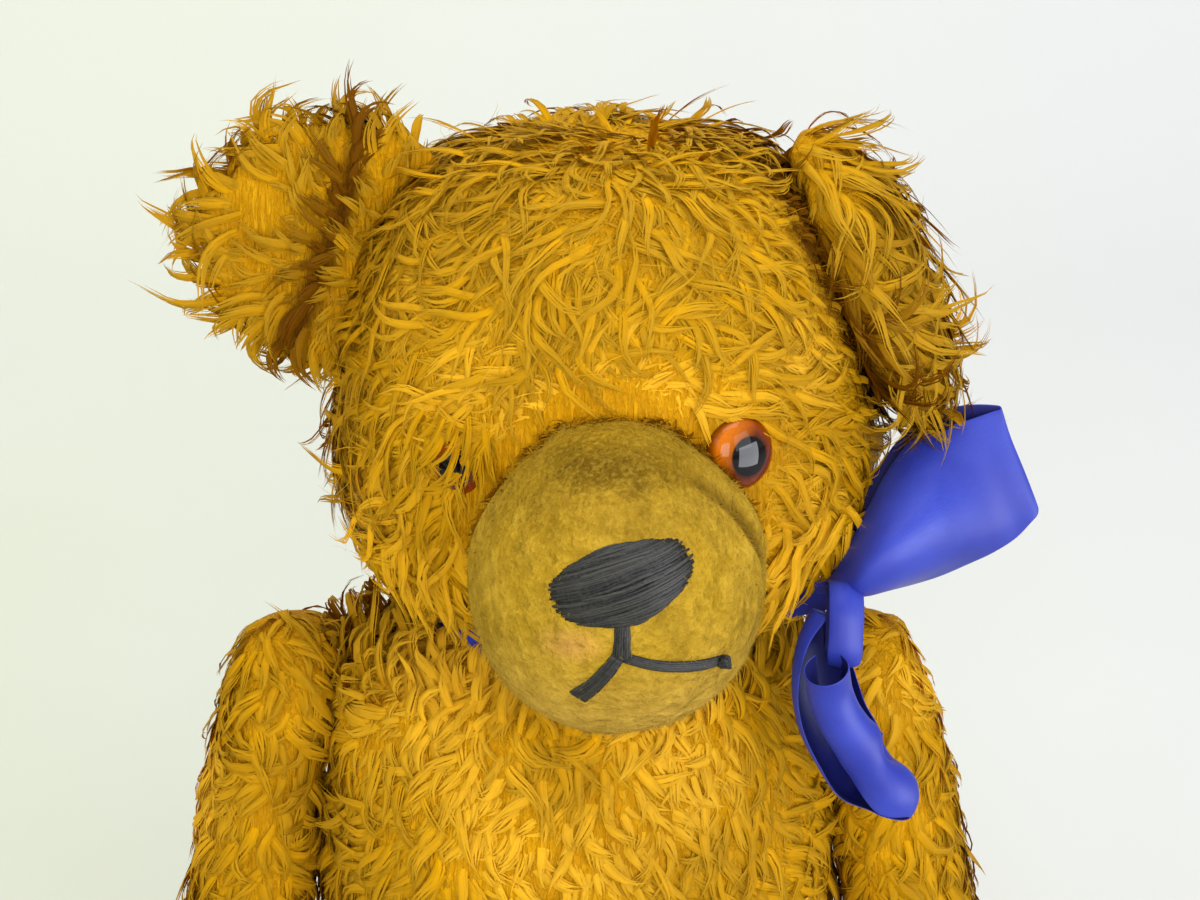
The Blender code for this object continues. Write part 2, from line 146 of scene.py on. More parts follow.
def buildStudio():
    tilt = math.radians(studio["elevation"])
    aim = headCentre + Vector(studio["aimFromHead"]) * mm
    bpy.ops.object.camera_add(
        location=aim + Vector((0, -math.cos(tilt), math.sin(tilt))) * studio["distance"],
        rotation=(math.pi / 2 - tilt, 0, 0))
    scene.camera = bpy.context.object
    scene.camera.data.lens = studio["lens"]
    scene.camera.data.clip_start = 0.01

    half, start = studio["floorHalf"], studio["sweepStart"]
    deselectAll()
    bpy.ops.mesh.primitive_plane_add(size=2 * half, location=(0, start - half, cadBox[0][2]))
    floor = bpy.context.object
    floor.name = "studioFloor"
    bpy.ops.object.transform_apply(location=True)
    bpy.ops.object.mode_set(mode="EDIT")
    shape = bmesh.from_edit_mesh(floor.data)
    for edge in shape.edges:   # only the far edge goes up the wall
        edge.select = all(v.co.y > start - 0.01 for v in edge.verts)
    for vert in shape.verts:
        vert.select = vert.co.y > start - 0.01
    bmesh.update_edit_mesh(floor.data)
    bpy.ops.mesh.spin(steps=16, angle=-math.pi / 2, axis=(1, 0, 0),
                      center=(0, start, cadBox[0][2] + studio["sweepRadius"]))
    bpy.ops.mesh.extrude_region_move(
        TRANSFORM_OT_translate={"value": (0, 0, studio["sweepHeight"])})
    bpy.ops.object.mode_set(mode="OBJECT")
    smoothShade(floor)
    giveMaterial(floor, floorMaterial())

    for name, lamp in lamps.items():
        bpy.ops.object.light_add(type="AREA", location=lamp["at"])
        light = bpy.context.object
        light.name = name
        light.data.size = lamp["size"]
        light.data.energy = lamp["power"]
        light.data.color = lamp["colour"]
        facing = headCentre + Vector((0, 0, -0.05)) - light.location
        light.rotation_euler = facing.to_track_quat("-Z", "Y").to_euler()
        light.visible_diffuse = name != "paneLight"   # it is only there for the eyes' shine
    world = bpy.data.worlds.new("studioAir")
    world.use_nodes = True
    air = world.node_tree.nodes["Background"].inputs
    air["Color"].default_value = (*studio["airColour"], 1)
    air["Strength"].default_value = studio["airStrength"]
    scene.world = world
    scene.view_settings.view_transform = "Standard"
    print("studio built")


class Painter:
    def __init__(self, tree):
        self.tree = tree

    def add(self, kind, values=None, **settings):
        node = self.tree.nodes.new(kind)
        for key, value in settings.items():
            setattr(node, key, value)
        for key, value in (values or {}).items():
            if isinstance(value, bpy.types.NodeSocket):
                self.tree.links.new(value, node.inputs[key])
            elif isinstance(value, tuple) and len(value) == 3 and node.inputs[key].type == "RGBA":
                node.inputs[key].default_value = (*value, 1)
            else:
                node.inputs[key].default_value = value
        return node

    def noise(self, place, scale, detail=3.0, roughness=0.55, distortion=0.0):
        node = self.add("ShaderNodeTexNoise", {"Vector": place, "Scale": scale, "Detail": detail,
                                               "Roughness": roughness, "Distortion": distortion})
        return node.outputs["Fac"]

    def spread(self, value, low, high, toLow=0.0, toHigh=1.0):
        node = self.add("ShaderNodeMapRange", {"Value": value, "From Min": low, "From Max": high,
                                               "To Min": toLow, "To Max": toHigh})
        return node.outputs["Result"]

    def math(self, operation, first, second=0.5):
        node = self.add("ShaderNodeMath", {0: first, 1: second}, operation=operation)
        return node.outputs["Value"]

    def mix(self, share, first, second, blend="MIX"):
        node = self.add("ShaderNodeMix", data_type="RGBA", blend_type=blend)
        for socket, value in ((node.inputs[0], share), (node.inputs[6], first),
                              (node.inputs[7], second)):
            if isinstance(value, bpy.types.NodeSocket):
                self.tree.links.new(value, socket)
            elif socket.type == "RGBA":
                socket.default_value = (*value, 1)
            else:
                socket.default_value = value
        return node.outputs[2]

    def stretched(self, place, scale):
        return self.add("ShaderNodeMapping", {"Vector": place, "Scale": scale}).outputs["Vector"]

    def attribute(self, name):
        return self.add("ShaderNodeAttribute", attribute_name=name).outputs["Fac"]

    def bump(self, height, strength, distance):
        node = self.add("ShaderNodeBump", {"Height": height, "Strength": strength,
                                           "Distance": distance})
        return node.outputs["Normal"]

    def group(self, tree, values):
        node = self.tree.nodes.new("ShaderNodeGroup")
        node.node_tree = tree
        for key, value in values.items():
            if isinstance(value, bpy.types.NodeSocket):
                self.tree.links.new(value, node.inputs[key])
            elif isinstance(value, tuple):
                node.inputs[key].default_value = (*value, 1)
            else:
                node.inputs[key].default_value = value
        return node.outputs


def startMaterial(name):
    material = bpy.data.materials.new(name)
    material.use_nodes = True
    tree = material.node_tree
    paint = Painter(tree)
    shader = tree.nodes["Principled BSDF"]
    place = paint.add("ShaderNodeTexCoord").outputs["Object"]
    return material, paint, shader, place


def finishShader(paint, shader, **values):
    for key, value in values.items():
        socket = shader.inputs[key.replace("_", " ")]
        if isinstance(value, bpy.types.NodeSocket):
            paint.tree.links.new(value, socket)
        elif isinstance(value, tuple):
            socket.default_value = (*value, 1)
        else:
            socket.default_value = value


def startGroup(name, inputs, outputs):
    tree = bpy.data.node_groups.new(name, "ShaderNodeTree")
    kinds = {"colour": "NodeSocketColor", "value": "NodeSocketFloat", "vector": "NodeSocketVector"}
    for socket, kind in inputs:
        tree.interface.new_socket(socket, in_out="INPUT", socket_type=kinds[kind])
    for socket, kind in outputs:
        tree.interface.new_socket(socket, in_out="OUTPUT", socket_type=kinds[kind])
    paint = Painter(tree)
    start = tree.nodes.new("NodeGroupInput").outputs
    end = tree.nodes.new("NodeGroupOutput").inputs
    return tree, paint, start, end


def soilingGroup():
    tree, paint, start, end = startGroup(
        "soiling", [("Place", "vector"), ("Clean", "colour"), ("Dirt", "colour"),
                    ("Size", "value"), ("Amount", "value")],
        [("Colour", "colour"), ("Mask", "value")])
    broad = paint.noise(start["Place"], start["Size"], 4.0, 0.6)
    fine = paint.noise(start["Place"], paint.math("MULTIPLY", start["Size"], 7.0), 3.0, 0.6)
    both = paint.math("ADD", paint.math("MULTIPLY", broad, 0.7), paint.math("MULTIPLY", fine, 0.3))
    mask = paint.math("MULTIPLY", paint.spread(both, 0.46, 0.66), start["Amount"])
    tree.links.new(paint.mix(mask, start["Clean"], start["Dirt"]), end["Colour"])
    tree.links.new(mask, end["Mask"])
    return tree


def fibreGroup():
    tree, paint, start, end = startGroup(
        "fibreTone", [("Along", "value"), ("Tint", "value"), ("Root", "colour"),
                      ("Middle", "colour"), ("Tip", "colour")],
        [("Colour", "colour")])
    # the roots are painted lighter to lift the shade between the strands, and the tips are dustier and
    # darker
    lower = paint.mix(paint.spread(start["Along"], 0.0, 0.45), start["Root"], start["Middle"])
    whole = paint.mix(paint.spread(start["Along"], 0.45, 1.0), lower, start["Tip"])
    shade = paint.spread(start["Tint"], 0.0, 1.0, 0.82, 1.15)
    tree.links.new(paint.mix(1.0, whole, shade, "MULTIPLY"), end["Colour"])
    return tree


soiling = soilingGroup()
fibreTone = fibreGroup()


def floorMaterial():
    material, paint, shader, place = startMaterial("paleFloor")
    # painted light and shade: the floor is darker towards the front and tinted greenish on the left and
    # cool on the right
    parts = paint.add("ShaderNodeSeparateXYZ", {"Vector": place}).outputs
    side = paint.spread(parts["X"], -0.25, 0.3)
    colour = paint.mix(side, studio["farLeft"], studio["farRight"])
    nearer = paint.mix(side, studio["nearLeft"], studio["nearRight"])
    colour = paint.mix(paint.spread(parts["Y"], 0.9, 0.1), colour, nearer)
    colour = paint.mix(paint.spread(paint.noise(place, 3.0), 0.3, 0.7, 0.0, 0.25), colour,
                       studio["cloud"])
    finishShader(paint, shader, Base_Color=colour, Roughness=0.85, Specular_IOR_Level=0.2)
    return material


# the fold colour below is painted shade, for the ear folds and where the fur meets the limbs and torso
furColours = {
    "root": (0.66, 0.312, 0.001), "middle": (0.51, 0.247, 0.002), "tip": (0.42, 0.218, 0.005),
    "aged": (0.40, 0.222, 0.015), "agedShare": 0.65, "bare": (0.95, 0.51, 0.03), "bareShare": 0.9,
    "dirt": (0.30, 0.15, 0.006), "dirtSize": 22.0, "dirtAmount": 0.55, "foldShade": (0.13, 0.045, 0.001),
    "undersideLight": 1.4,
}


def furMaterial():
    material, paint, shader, place = startMaterial("goldMohair")
    tone = paint.group(fibreTone, {
        "Along": paint.attribute("along"), "Tint": paint.attribute("tint"),
        "Root": furColours["root"], "Middle": furColours["middle"], "Tip": furColours["tip"]})
    towardsTip = paint.spread(paint.attribute("along"), 0.05, 0.7)
    old = paint.math("MULTIPLY", paint.attribute("aged"), towardsTip)
    faded = paint.mix(paint.math("MULTIPLY", old, furColours["agedShare"]), tone["Colour"],
                      furColours["aged"])
    bright = paint.mix(paint.math("MULTIPLY", paint.attribute("worn"), furColours["bareShare"]),
                       faded, furColours["bare"])
    soiled = paint.group(soiling, {
        "Place": place, "Clean": bright, "Dirt": furColours["dirt"],
        "Size": furColours["dirtSize"], "Amount": furColours["dirtAmount"]})
    # painted shade: the deep attribute darkens the fur along the ear folds and where it lies against
    # the limbs or torso
    colour = paint.mix(paint.attribute("deep"), soiled["Colour"], furColours["foldShade"])
    # painted light: the backfacing sides of the strands are made lighter, standing in for light coming
    # through the fine hair
    under = paint.add("ShaderNodeNewGeometry").outputs["Backfacing"]
    lit = paint.add("ShaderNodeHueSaturation",
                    {"Fac": under, "Value": furColours["undersideLight"], "Color": colour})
    finishShader(paint, shader, Base_Color=lit.outputs["Color"], Roughness=0.5,
                 Specular_IOR_Level=0.02)
    return material


# the fold colour below is painted shade for the ear folds and where the skins meet
pileColours = {
    "low": (0.56, 0.255, 0.002), "high": (0.70, 0.345, 0.005), "clump": (0.53, 0.235, 0.002),
    "dirt": (0.26, 0.11, 0.004), "foldShade": (0.10, 0.035, 0.001),
}


def pileMaterial():
    material, paint, shader, place = startMaterial("wornPile")
    streaks = paint.noise(paint.stretched(place, (900.0, 900.0, 140.0)), 1.0, 3.0, 0.6, 0.6)
    clumps = paint.noise(place, 160.0, 3.0, 0.6, 0.4)
    fibres = paint.spread(streaks, 0.38, 0.62)
    colour = paint.mix(fibres, pileColours["low"], pileColours["high"])
    colour = paint.mix(paint.spread(clumps, 0.35, 0.65, 0.0, 0.5), colour, pileColours["clump"])
    soiled = paint.group(soiling, {"Place": place, "Clean": colour, "Dirt": pileColours["dirt"],
                                   "Size": 22.0, "Amount": 0.5})
    # painted shade along the ear folds and where the skins meet, by the deep attribute
    colour = paint.mix(paint.attribute("deep"), soiled["Colour"], pileColours["foldShade"])
    height = paint.math("ADD", fibres, paint.math("MULTIPLY", clumps, 1.5))
    finishShader(paint, shader, Base_Color=colour, Roughness=0.6,
                 Specular_IOR_Level=0.03, Normal=paint.bump(height, 0.8, 0.8 * mm))
    return material


buildStudio()
mohair = furMaterial()
wornPile = pileMaterial()


joints = {each["name"]: each for each in frame["joints"]}
pocketDepth = 22 * mm
pocketRadius = {"neck": 21.5 * mm, "shoulder": 16.5 * mm, "hip": 18.5 * mm}
bodyJoints = ["shoulder_left", "shoulder_right", "hip_left", "hip_right"]


def removePocket(shape, joint):
    # the skins are whole cloth over the joint's hidden hollow
    place, axis = Vector(joints[joint]["pos_m"]), Vector(joints[joint]["axis"]).normalized()
    radius = pocketRadius[joint.split("_")[0]]
    inner = []
    for face in shape.faces:
        offset = face.calc_center_median() - place
        deep = abs(offset.dot(axis))
        out = (offset - axis * offset.dot(axis)).length
        if 0.5 * mm < deep < pocketDepth and out < radius:
            inner.append(face)
    bmesh.ops.delete(shape, geom=inner, context="FACES")


def besideJoint(points, joint):
    # how far from the joint's plane, and how far out from its pin
    place, axis = np.array(joints[joint]["pos_m"]), np.array(joints[joint]["axis"])
    axis = axis / np.linalg.norm(axis)
    deep = (points - place) @ axis
    out = np.linalg.norm(points - place - deep[:, None] * axis, axis=1)
    return np.abs(deep), out


def awayFromJoints(points, names):
    # 0 beside a joint's plane, 1 a centimetre away
    room = np.ones(len(points))
    for name in names:
        deep, _ = besideJoint(points, name)
        room = np.minimum(room, np.clip((deep - 2 * mm) / (9 * mm), 0, 1))
    return room


def stuffedSkin(name, node, body, pockets, voxel, inset, pressure=3.5, cap=2.5 * mm, lumps=1.2,
                material=None):
    mesh = frame["nodes"][node].data.copy()
    shape = bmesh.new()
    shape.from_mesh(mesh)
    bmesh.ops.remove_doubles(shape, verts=shape.verts, dist=0.01 * mm)
    for joint in pockets:
        removePocket(shape, joint)
    bmesh.ops.holes_fill(shape, edges=shape.edges, sides=0)
    shape.to_mesh(mesh)
    shape.free()
    skin = linkObject(name, mesh)
    makeActive(skin)
    remesh = skin.modifiers.new("remesh", "REMESH")
    remesh.mode = "VOXEL"
    remesh.voxel_size = voxel
    relax = skin.modifiers.new("relax", "SMOOTH")
    relax.iterations = 4
    applyModifiers(skin)
    points = coordinates(skin.data)
    room = awayFromJoints(points, pockets)
    points = points - vertexNormals(skin.data) * (inset * (0.15 + 0.85 * room))[:, None]
    setCoordinates(skin.data, points)
    swell(skin, pressure, cap * (0.1 + 0.9 * room))
    points, normals = coordinates(skin.data), vertexNormals(skin.data)
    normals *= (0.2 + 0.8 * awayFromJoints(points, pockets))[:, None]
    for index, point in enumerate(points):   # hand stuffing is never even
        lump = noise.noise(Vector(point) * 38) + 0.5 * noise.noise(Vector(point) * 90)
        points[index] = point + normals[index] * lump * lumps * mm
    setCoordinates(skin.data, points)
    smoother = skin.modifiers.new("smoother", "SUBSURF")
    smoother.levels = smoother.render_levels = 1
    applyModifiers(skin)
    smoothShade(skin)
    giveMaterial(skin, material or wornPile)
    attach(skin, body)
    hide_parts(node)
    print("stuffed", name, len(skin.data.polygons), "faces")
    return skin


def swell(skin, pressure, cap, frames=20):
    before = coordinates(skin.data)
    cloth = skin.modifiers.new("swell", "CLOTH")
    cloth.settings.use_pressure = True
    cloth.settings.uniform_pressure_force = pressure
    cloth.settings.effector_weights.gravity = 0
    cloth.settings.quality = 4
    cloth.collision_settings.use_collision = False
    for step in range(1, frames + 1):
        scene.frame_set(step)
    applyModifiers(skin)
    scene.frame_set(1)
    moved = coordinates(skin.data) - before
    far = np.linalg.norm(moved, axis=1, keepdims=True)
    most = np.minimum(1, np.asarray(cap).reshape(-1, 1) / np.maximum(far, 1e-9))
    setCoordinates(skin.data, before + moved * most)


def facesOf(mesh):
    mesh.calc_loop_triangles()
    flat = np.empty(len(mesh.loop_triangles) * 3, dtype=int)
    mesh.loop_triangles.foreach_get("vertices", flat)
    return flat.reshape(-1, 3)


def scatterRoots(mesh, spacing, rng):
    points, normals, faces = coordinates(mesh), vertexNormals(mesh), facesOf(mesh)
    corners = points[faces]
    areas = np.linalg.norm(np.cross(corners[:, 1] - corners[:, 0], corners[:, 2] - corners[:, 0]),
                           axis=1) / 2
    count = int(areas.sum() / spacing ** 2 * 5)
    chosen = rng.choice(len(faces), count, p=areas / areas.sum())
    first, second = rng.random(count), rng.random(count)
    flip = first + second > 1
    first[flip], second[flip] = 1 - first[flip], 1 - second[flip]
    weights = np.stack([1 - first - second, first, second], axis=1)[:, :, None]
    roots = (points[faces[chosen]] * weights).sum(axis=1)
    ups = (normals[faces[chosen]] * weights).sum(axis=1)
    ups /= np.linalg.norm(ups, axis=1, keepdims=True)
    # one root for each small cell keeps them apart
    cells = np.floor(roots / (spacing * 1.12) + 1000).astype(int)
    _, kept = np.unique(cells, axis=0, return_index=True)
    kept = np.sort(kept)
    return roots[kept], ups[kept]


def drawLocks(roots, coat, rng):
    # what chance decides about each lock
    count = len(roots)
    lengths = coat["length"] * mm * rng.uniform(0.65, 1.25, count) * coat["lengthAt"](roots)
    worn = coat["wornAt"](roots)
    lengths *= 1 - 0.55 * worn
    free = rng.random(count) < coat["free"]
    lifts = coat["lift"] * mm * rng.uniform(0.15, 1.0, count) ** 1.3 * (1 - 0.75 * worn)
    lifts[free] *= 1.6
    return {
        "length": lengths, "worn": worn, "free": free, "lift": lifts,
        "bend": rng.choice([-1, 1], count) * rng.uniform(0.2, 1.0, count) * coat["bend"],
        "stray": rng.normal(0, coat["stray"], count),
        "wave": rng.uniform(0.5, 1.0, count) * coat["wave"],
        "phase": rng.normal(0, 0.5, count),
    }


def riseOf(along, free):
    # a free lock stands off the coat, the others rise and lie down again
    if free:
        return along ** 0.8 * 1.3
    return math.sin(min(1, along * 1.7) * math.pi / 2) - max(0, along - 0.6) * 0.9


def combLock(tree, spot, up, heading, lock, coat):
    steps = coat["steps"]
    # neighbouring locks lie and curl alike
    swirl = noise.noise_vector(spot / (coat["swirlSize"] * mm))
    curl = noise.noise(spot / (coat["curlSize"] * mm) + Vector((7, 3, 5)))
    bend = lock["bend"] + coat["curl"] * curl * 1.2
    phase = lock["phase"] + 9 * noise.noise(spot / (coat["curlSize"] * mm) + Vector((1, 9, 2)))
    heading = heading + swirl * coat["swirl"]
    heading = Matrix.Rotation(math.radians(lock["stray"]), 3, up) @ heading
    heading = (heading - up * heading.dot(up)).normalized()
    stride = lock["length"] / steps
    path, normals = [], []
    for step in range(steps + 1):
        along = step / steps
        rise = lock["lift"] * riseOf(along, lock["free"])
        path.append(spot + up * (rise - coat["bury"] * mm * (1 - along)))
        normals.append(up)
        turn = bend + lock["wave"] * math.sin(
            2 * math.pi * along * lock["length"] / (coat["waveSize"] * mm) + phase)
        heading = Matrix.Rotation(math.radians(turn) * stride / mm, 3, up) @ heading
        ahead = spot + heading * stride
        ground, facing, _, _ = tree.find_nearest(ahead)
        spot = ahead.lerp(ground, lock["hug"])
        up = up.lerp(facing, 0.6 * lock["hug"] + 0.05).normalized()
        heading = heading + Vector((0, 0, -coat["droop"]))
        heading = (heading - up * heading.dot(up)).normalized()
    return path, normals


def combLocks(tree, roots, ups, coat, rng):
    locks = drawLocks(roots, coat, rng)
    headings, hugs = coat["comb"](roots), coat["hugAt"](roots)
    paths = np.empty((len(roots), coat["steps"] + 1, 3))
    normals = np.empty_like(paths)
    for index, (root, up, heading) in enumerate(zip(roots, ups, headings)):
        lock = {key: values[index] for key, values in locks.items()}
        lock["hug"] = coat["hug"] * hugs[index] * (0.35 if lock["free"] else 1)
        paths[index], normals[index] = combLock(tree, Vector(root), Vector(up), Vector(heading),
                                                lock, coat)
    return paths, normals, locks["worn"]


def frameAlong(paths, ups):
    # the ways along, across and out of each path
    tangents = np.gradient(paths, axis=1)
    tangents /= np.linalg.norm(tangents, axis=2, keepdims=True) + 1e-12
    sides = np.cross(tangents, ups)
    sides /= np.linalg.norm(sides, axis=2, keepdims=True) + 1e-12
    return sides, np.cross(sides, tangents)


def placeStrands(paths, normals, coat, rng):
    # the strands of a lock lie side by side and meet towards its tip
    count, rings, _ = paths.shape
    each = coat["strands"]
    along = np.linspace(0, 1, rings)
    sides, uprights = frameAlong(paths, normals)
    shape = (count, each, 1)
    slot = np.linspace(-1, 1, each)[None, :, None] if each > 1 else np.zeros((1, 1, 1))
    slot = np.clip(slot + rng.normal(0, 0.12, shape), -1, 1)
    broadness = coat["spread"] * mm * rng.uniform(0.6, 1.25, (count, 1, 1))
    taper = (0.45 + 0.55 * np.sin(np.minimum(1, along * 2.4) * math.pi / 2)) * (1 - 0.9 * along ** 2)
    tipOff = rng.normal(0, coat["frizz"] * mm, shape) * along ** 2
    own = np.sin(along * rng.uniform(4, 8, shape) + rng.uniform(0, 6.3, shape)) * 0.22 * mm
    lateral = slot * broadness * taper + tipOff + own
    vertical = np.sqrt(1 - 0.9 * slot ** 2) * broadness * taper * coat["plump"] + tipOff * 0.5
    centres = (paths[:, None] + sides[:, None] * lateral[..., None]
               + uprights[:, None] * vertical[..., None])
    # strands stop at different lengths
    cut = rng.uniform(coat["ragged"], 1.0, shape)
    position = along * cut * (rings - 1)
    low = np.clip(position.astype(int), 0, rings - 2)
    part = (position - low)[..., None]
    lockRow = np.arange(count)[:, None, None]
    strandRow = np.arange(each)[None, :, None]
    centres = (centres[lockRow, strandRow, low] * (1 - part)
               + centres[lockRow, strandRow, low + 1] * part)
    upAt = uprights[lockRow, low] * (1 - part) + uprights[lockRow, low + 1] * part
    return (centres.reshape(count * each, rings, 3), upAt.reshape(count * each, rings, 3),
            slot.reshape(-1, 1, 1))


def widenStrands(centres, upAt, slot, normals, coat, rng):
    # the two edges of each strand, and the way its light falls
    total, rings, _ = centres.shape
    along = np.linspace(0, 1, rings)
    sides, lifts = frameAlong(centres, upAt)
    # the outer strands of a lock turn down at its sides, so it is round
    roll = slot * coat["round"] * 0.6 + rng.normal(0, 0.12, (total, 1, 1))
    widthWay = sides * np.cos(roll) + lifts * np.sin(roll)
    broad = coat["width"] * mm * rng.uniform(0.6, 1.25, (total, 1))
    outline = (0.6 + 0.4 * np.sin(np.minimum(1, along * 2.5) * math.pi / 2)) * (1 - along ** 2.2)
    outline += 0.02
    half = (broad * outline[None, :])[..., None] / 2
    # light falls on the coat as on one soft surface, so strands share its normals
    surface = np.repeat(normals, total // len(normals), axis=0)
    shading = surface * 0.75 + lifts * 0.25 + sides * slot * coat["round"]
    shading /= np.linalg.norm(shading, axis=2, keepdims=True) + 1e-12
    return centres - widthWay * half, centres + widthWay * half, shading


def perPoint(left, right, tip):
    # values for the points of each strand: two for each ring, and one at the tip
    total, rings, width = left.shape
    values = np.empty((total, 2 * rings - 1, width))
    values[:, 0:-1:2] = left[:, :-1]
    values[:, 1:-1:2] = right[:, :-1]
    values[:, -1] = tip
    return values


def layFlat(mesh, total, alongVert, loops):
    # a plain layout of the strands side by side, for baking
    columns = int(math.sqrt(total * 6))
    rows = math.ceil(total / columns)
    column, row = np.arange(total) % columns, np.arange(total) // columns
    across = np.append(np.tile([0.15, 0.85], len(alongVert) // 2), 0.5)
    u = (column[:, None] + across[None, :]) / columns
    v = (row[:, None] + 0.06 + 0.88 * alongVert[None, :]) / rows
    layout = np.stack([u, v], axis=2).reshape(-1, 2)[loops]
    mesh.uv_layers.new(name="OFBake").data.foreach_set("uv", layout.ravel())


def strandMesh(name, paths, normals, worn, aged, deep, coat, rng):
    # each lock is a few flat tapering strands
    centres, upAt, slot = placeStrands(paths, normals, coat, rng)
    left, right, shading = widenStrands(centres, upAt, slot, normals, coat, rng)
    verts = perPoint(left, right, centres[:, -1])
    count, each = len(paths), coat["strands"]
    total, perStrand, _ = verts.shape
    ringCount = perStrand // 2
    quads = ringCount - 1
    pattern = []
    for ring in range(quads):
        pattern += [2 * ring, 2 * ring + 1, 2 * ring + 3, 2 * ring + 2]
    pattern += [2 * quads, 2 * quads + 1, 2 * quads + 2]
    loops = (np.array(pattern)[None, :] + np.arange(total)[:, None] * perStrand).ravel()
    sizes = np.tile(np.array([4] * quads + [3]), total)
    starts = np.concatenate([[0], np.cumsum(sizes)[:-1]])

    mesh = bpy.data.meshes.new(name)
    mesh.vertices.add(total * perStrand)
    mesh.vertices.foreach_set("co", verts.ravel())
    mesh.loops.add(len(loops))
    mesh.loops.foreach_set("vertex_index", loops)
    mesh.polygons.add(len(sizes))
    mesh.polygons.foreach_set("loop_start", starts)
    mesh.polygons.foreach_set("use_smooth", np.ones(len(sizes), dtype=bool))
    mesh.update(calc_edges=True)
    light = perPoint(shading, shading, shading[:, -1])
    mesh.normals_split_custom_set_from_vertices(light.reshape(-1, 3).tolist())

    alongVert = np.append(np.repeat(np.linspace(0, 1, ringCount + 1)[:-1], 2), 1.0)
    lockTint = rng.normal(0.5, 0.2, (count, 1))
    tint = np.clip(lockTint + rng.normal(0, 0.07, (count, each)), 0, 1).reshape(-1)
    sideTint = np.append(np.tile([-0.5, 0.5], ringCount), 0.0)
    sideTint = rng.normal(0, 0.22, (total, 1)) * sideTint[None, :]
    # deep carries painted shade for the ear folds and the creases beside the limbs
    for label, values in (("along", np.tile(alongVert, total)),
                          ("tint", (tint[:, None] + sideTint).ravel()),
                          ("worn", np.repeat(worn, each * perStrand)),
                          ("aged", np.repeat(aged, each * perStrand)),
                          ("deep", np.repeat(deep, each * perStrand))):
        mesh.attributes.new(label, "FLOAT", "POINT").data.foreach_set("value", values)

    layFlat(mesh, total, alongVert, loops)
    return mesh


def treeOf(*pieces):
    verts, faces = [], []
    for piece in pieces:
        faces += [tuple(int(corner) + len(verts) for corner in face) for face in facesOf(piece.data)]
        verts += [Vector(point) for point in coordinates(piece.data)]
    return BVHTree.FromPolygons(verts, faces)


def closeTo(tree, reach, most=1.0):
    # most where a root is against the other skins, 0 at the reach and beyond
    def share(points):
        far = np.array([tree.find_nearest(Vector(point))[3] for point in points])
        return most * np.clip(1.15 - far / reach, 0, 1)
    return share


def growFur(name, skin, body, coat, material=None):
    rng = np.random.default_rng(coat["seed"])
    roots, ups = scatterRoots(skin.data, coat["spacing"] * mm, rng)
    keep = coat["growAt"](roots, ups, rng)
    roots, ups = roots[keep], ups[keep]
    tree = treeOf(skin)
    paths, normals, worn = combLocks(tree, roots, ups, coat, rng)
    normals = normals + np.array(coat["curtain"])   # hanging locks face out, not down
    normals /= np.linalg.norm(normals, axis=2, keepdims=True)
    mesh = strandMesh(name, paths, normals, worn, coat["agedAt"](roots),
                      coat["creaseShadeAt"](roots), coat, rng)
    fur = linkObject(name, mesh)
    giveMaterial(fur, material or mohair)
    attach(fur, body)
    triangles = sum(len(p.vertices) - 2 for p in mesh.polygons)
    print("grew", name, len(roots), "locks,", triangles, "triangles")


def evenly(value):
    # the same value at every root
    return lambda points: np.full(len(points), float(value))


def combed(*way):
    # the same way at every root
    return lambda points: np.tile(np.array(way, dtype=float), (len(points), 1))


def near(points, centre, reach):
    # 1 at the centre, 0 at the reach and beyond, smooth between
    gone = np.linalg.norm((points - np.asarray(centre)) / np.asarray(reach), axis=1)
    return np.clip(1 - gone, 0, 1) ** 0.8


discReach = {"shoulder_left": 22, "shoulder_right": 22, "hip_left": 28, "hip_right": 28}
headSkin = stuffedSkin("headSkin", "head", "head", ["neck"], 6 * mm, 2.0 * mm)
torsoSkin = stuffedSkin("torsoSkin", "torso", "torso", ["neck", *bodyJoints], 6.5 * mm, 2.0 * mm)
armSkins, legSkins = {}, {}
for side in ("left", "right"):
    armSkins[side] = stuffedSkin("armSkin" + side.title(), "arm_" + side, "arm_" + side,
                                 ["shoulder_" + side], 5 * mm, 1.8 * mm)
    legSkins[side] = stuffedSkin("legSkin" + side.title(), "leg_" + side, "leg_" + side,
                                 ["hip_" + side], 5.5 * mm, 1.8 * mm)


def sewOn(skin, onto, reach, depth):
    # the ear's edge goes in through the slit in the head
    tree = treeOf(onto)
    points = coordinates(skin.data)
    for index, point in enumerate(points):
        _, facing, _, far = tree.find_nearest(Vector(point))
        share = max(0.0, 1 - far / reach)
        points[index] -= np.array(facing) * depth * share ** 0.5 * (share > 0)
    setCoordinates(skin.data, points)


earRight = stuffedSkin("earSkinRight", "ear_right", "head", [], 2.8 * mm, 1.2 * mm, cap=0.8 * mm,
                       lumps=0.8)
sewOn(earRight, headSkin, 9 * mm, 7 * mm)
earLeft = stuffedSkin("earSkinLeft", "ear_left", "head", [], 3 * mm, 1.2 * mm, cap=0.8 * mm,
                      lumps=1.0)
sewOn(earLeft, headSkin, 7 * mm, 5 * mm)

muzzleCentre = np.array([9.5, -61, 230]) * mm
muzzleRadii = np.array([36.5, 43, 40]) * mm
bowPlace = np.array([70, -42, 204]) * mm
bowRadii = np.array([10, 26, 15]) * mm
eyePlaces = {"eye_left": ((40, -55.5, 255.5), 9.0), "eye_right": ((-29.5, -53, 251), 6.2)}
headWorn = [   # threadbare places: place, reach in each direction, how bare
    ((52, -44, 279), (16, 16, 14), 1.0), ((-10, -58, 270), (22, 16, 12), 0.9),
    ((15, -60, 268), (34, 14, 12), 0.8), ((-30, -50, 262), (16, 14, 18), 0.6),
    ((-42, -38, 290), (16, 14, 14), 0.6), ((-25, -52, 284), (12, 10, 10), 0.5),
    ((-48, -38, 240), (14, 16, 18), 0.6), ((52, -44, 238), (14, 14, 16), 0.5),
]


def headWornAt(points):
    bare = np.zeros(len(points))
    for place, reach, amount in headWorn:
        bare = np.maximum(bare, near(points, np.array(place) * mm, np.array(reach) * mm) * amount)
    return bare


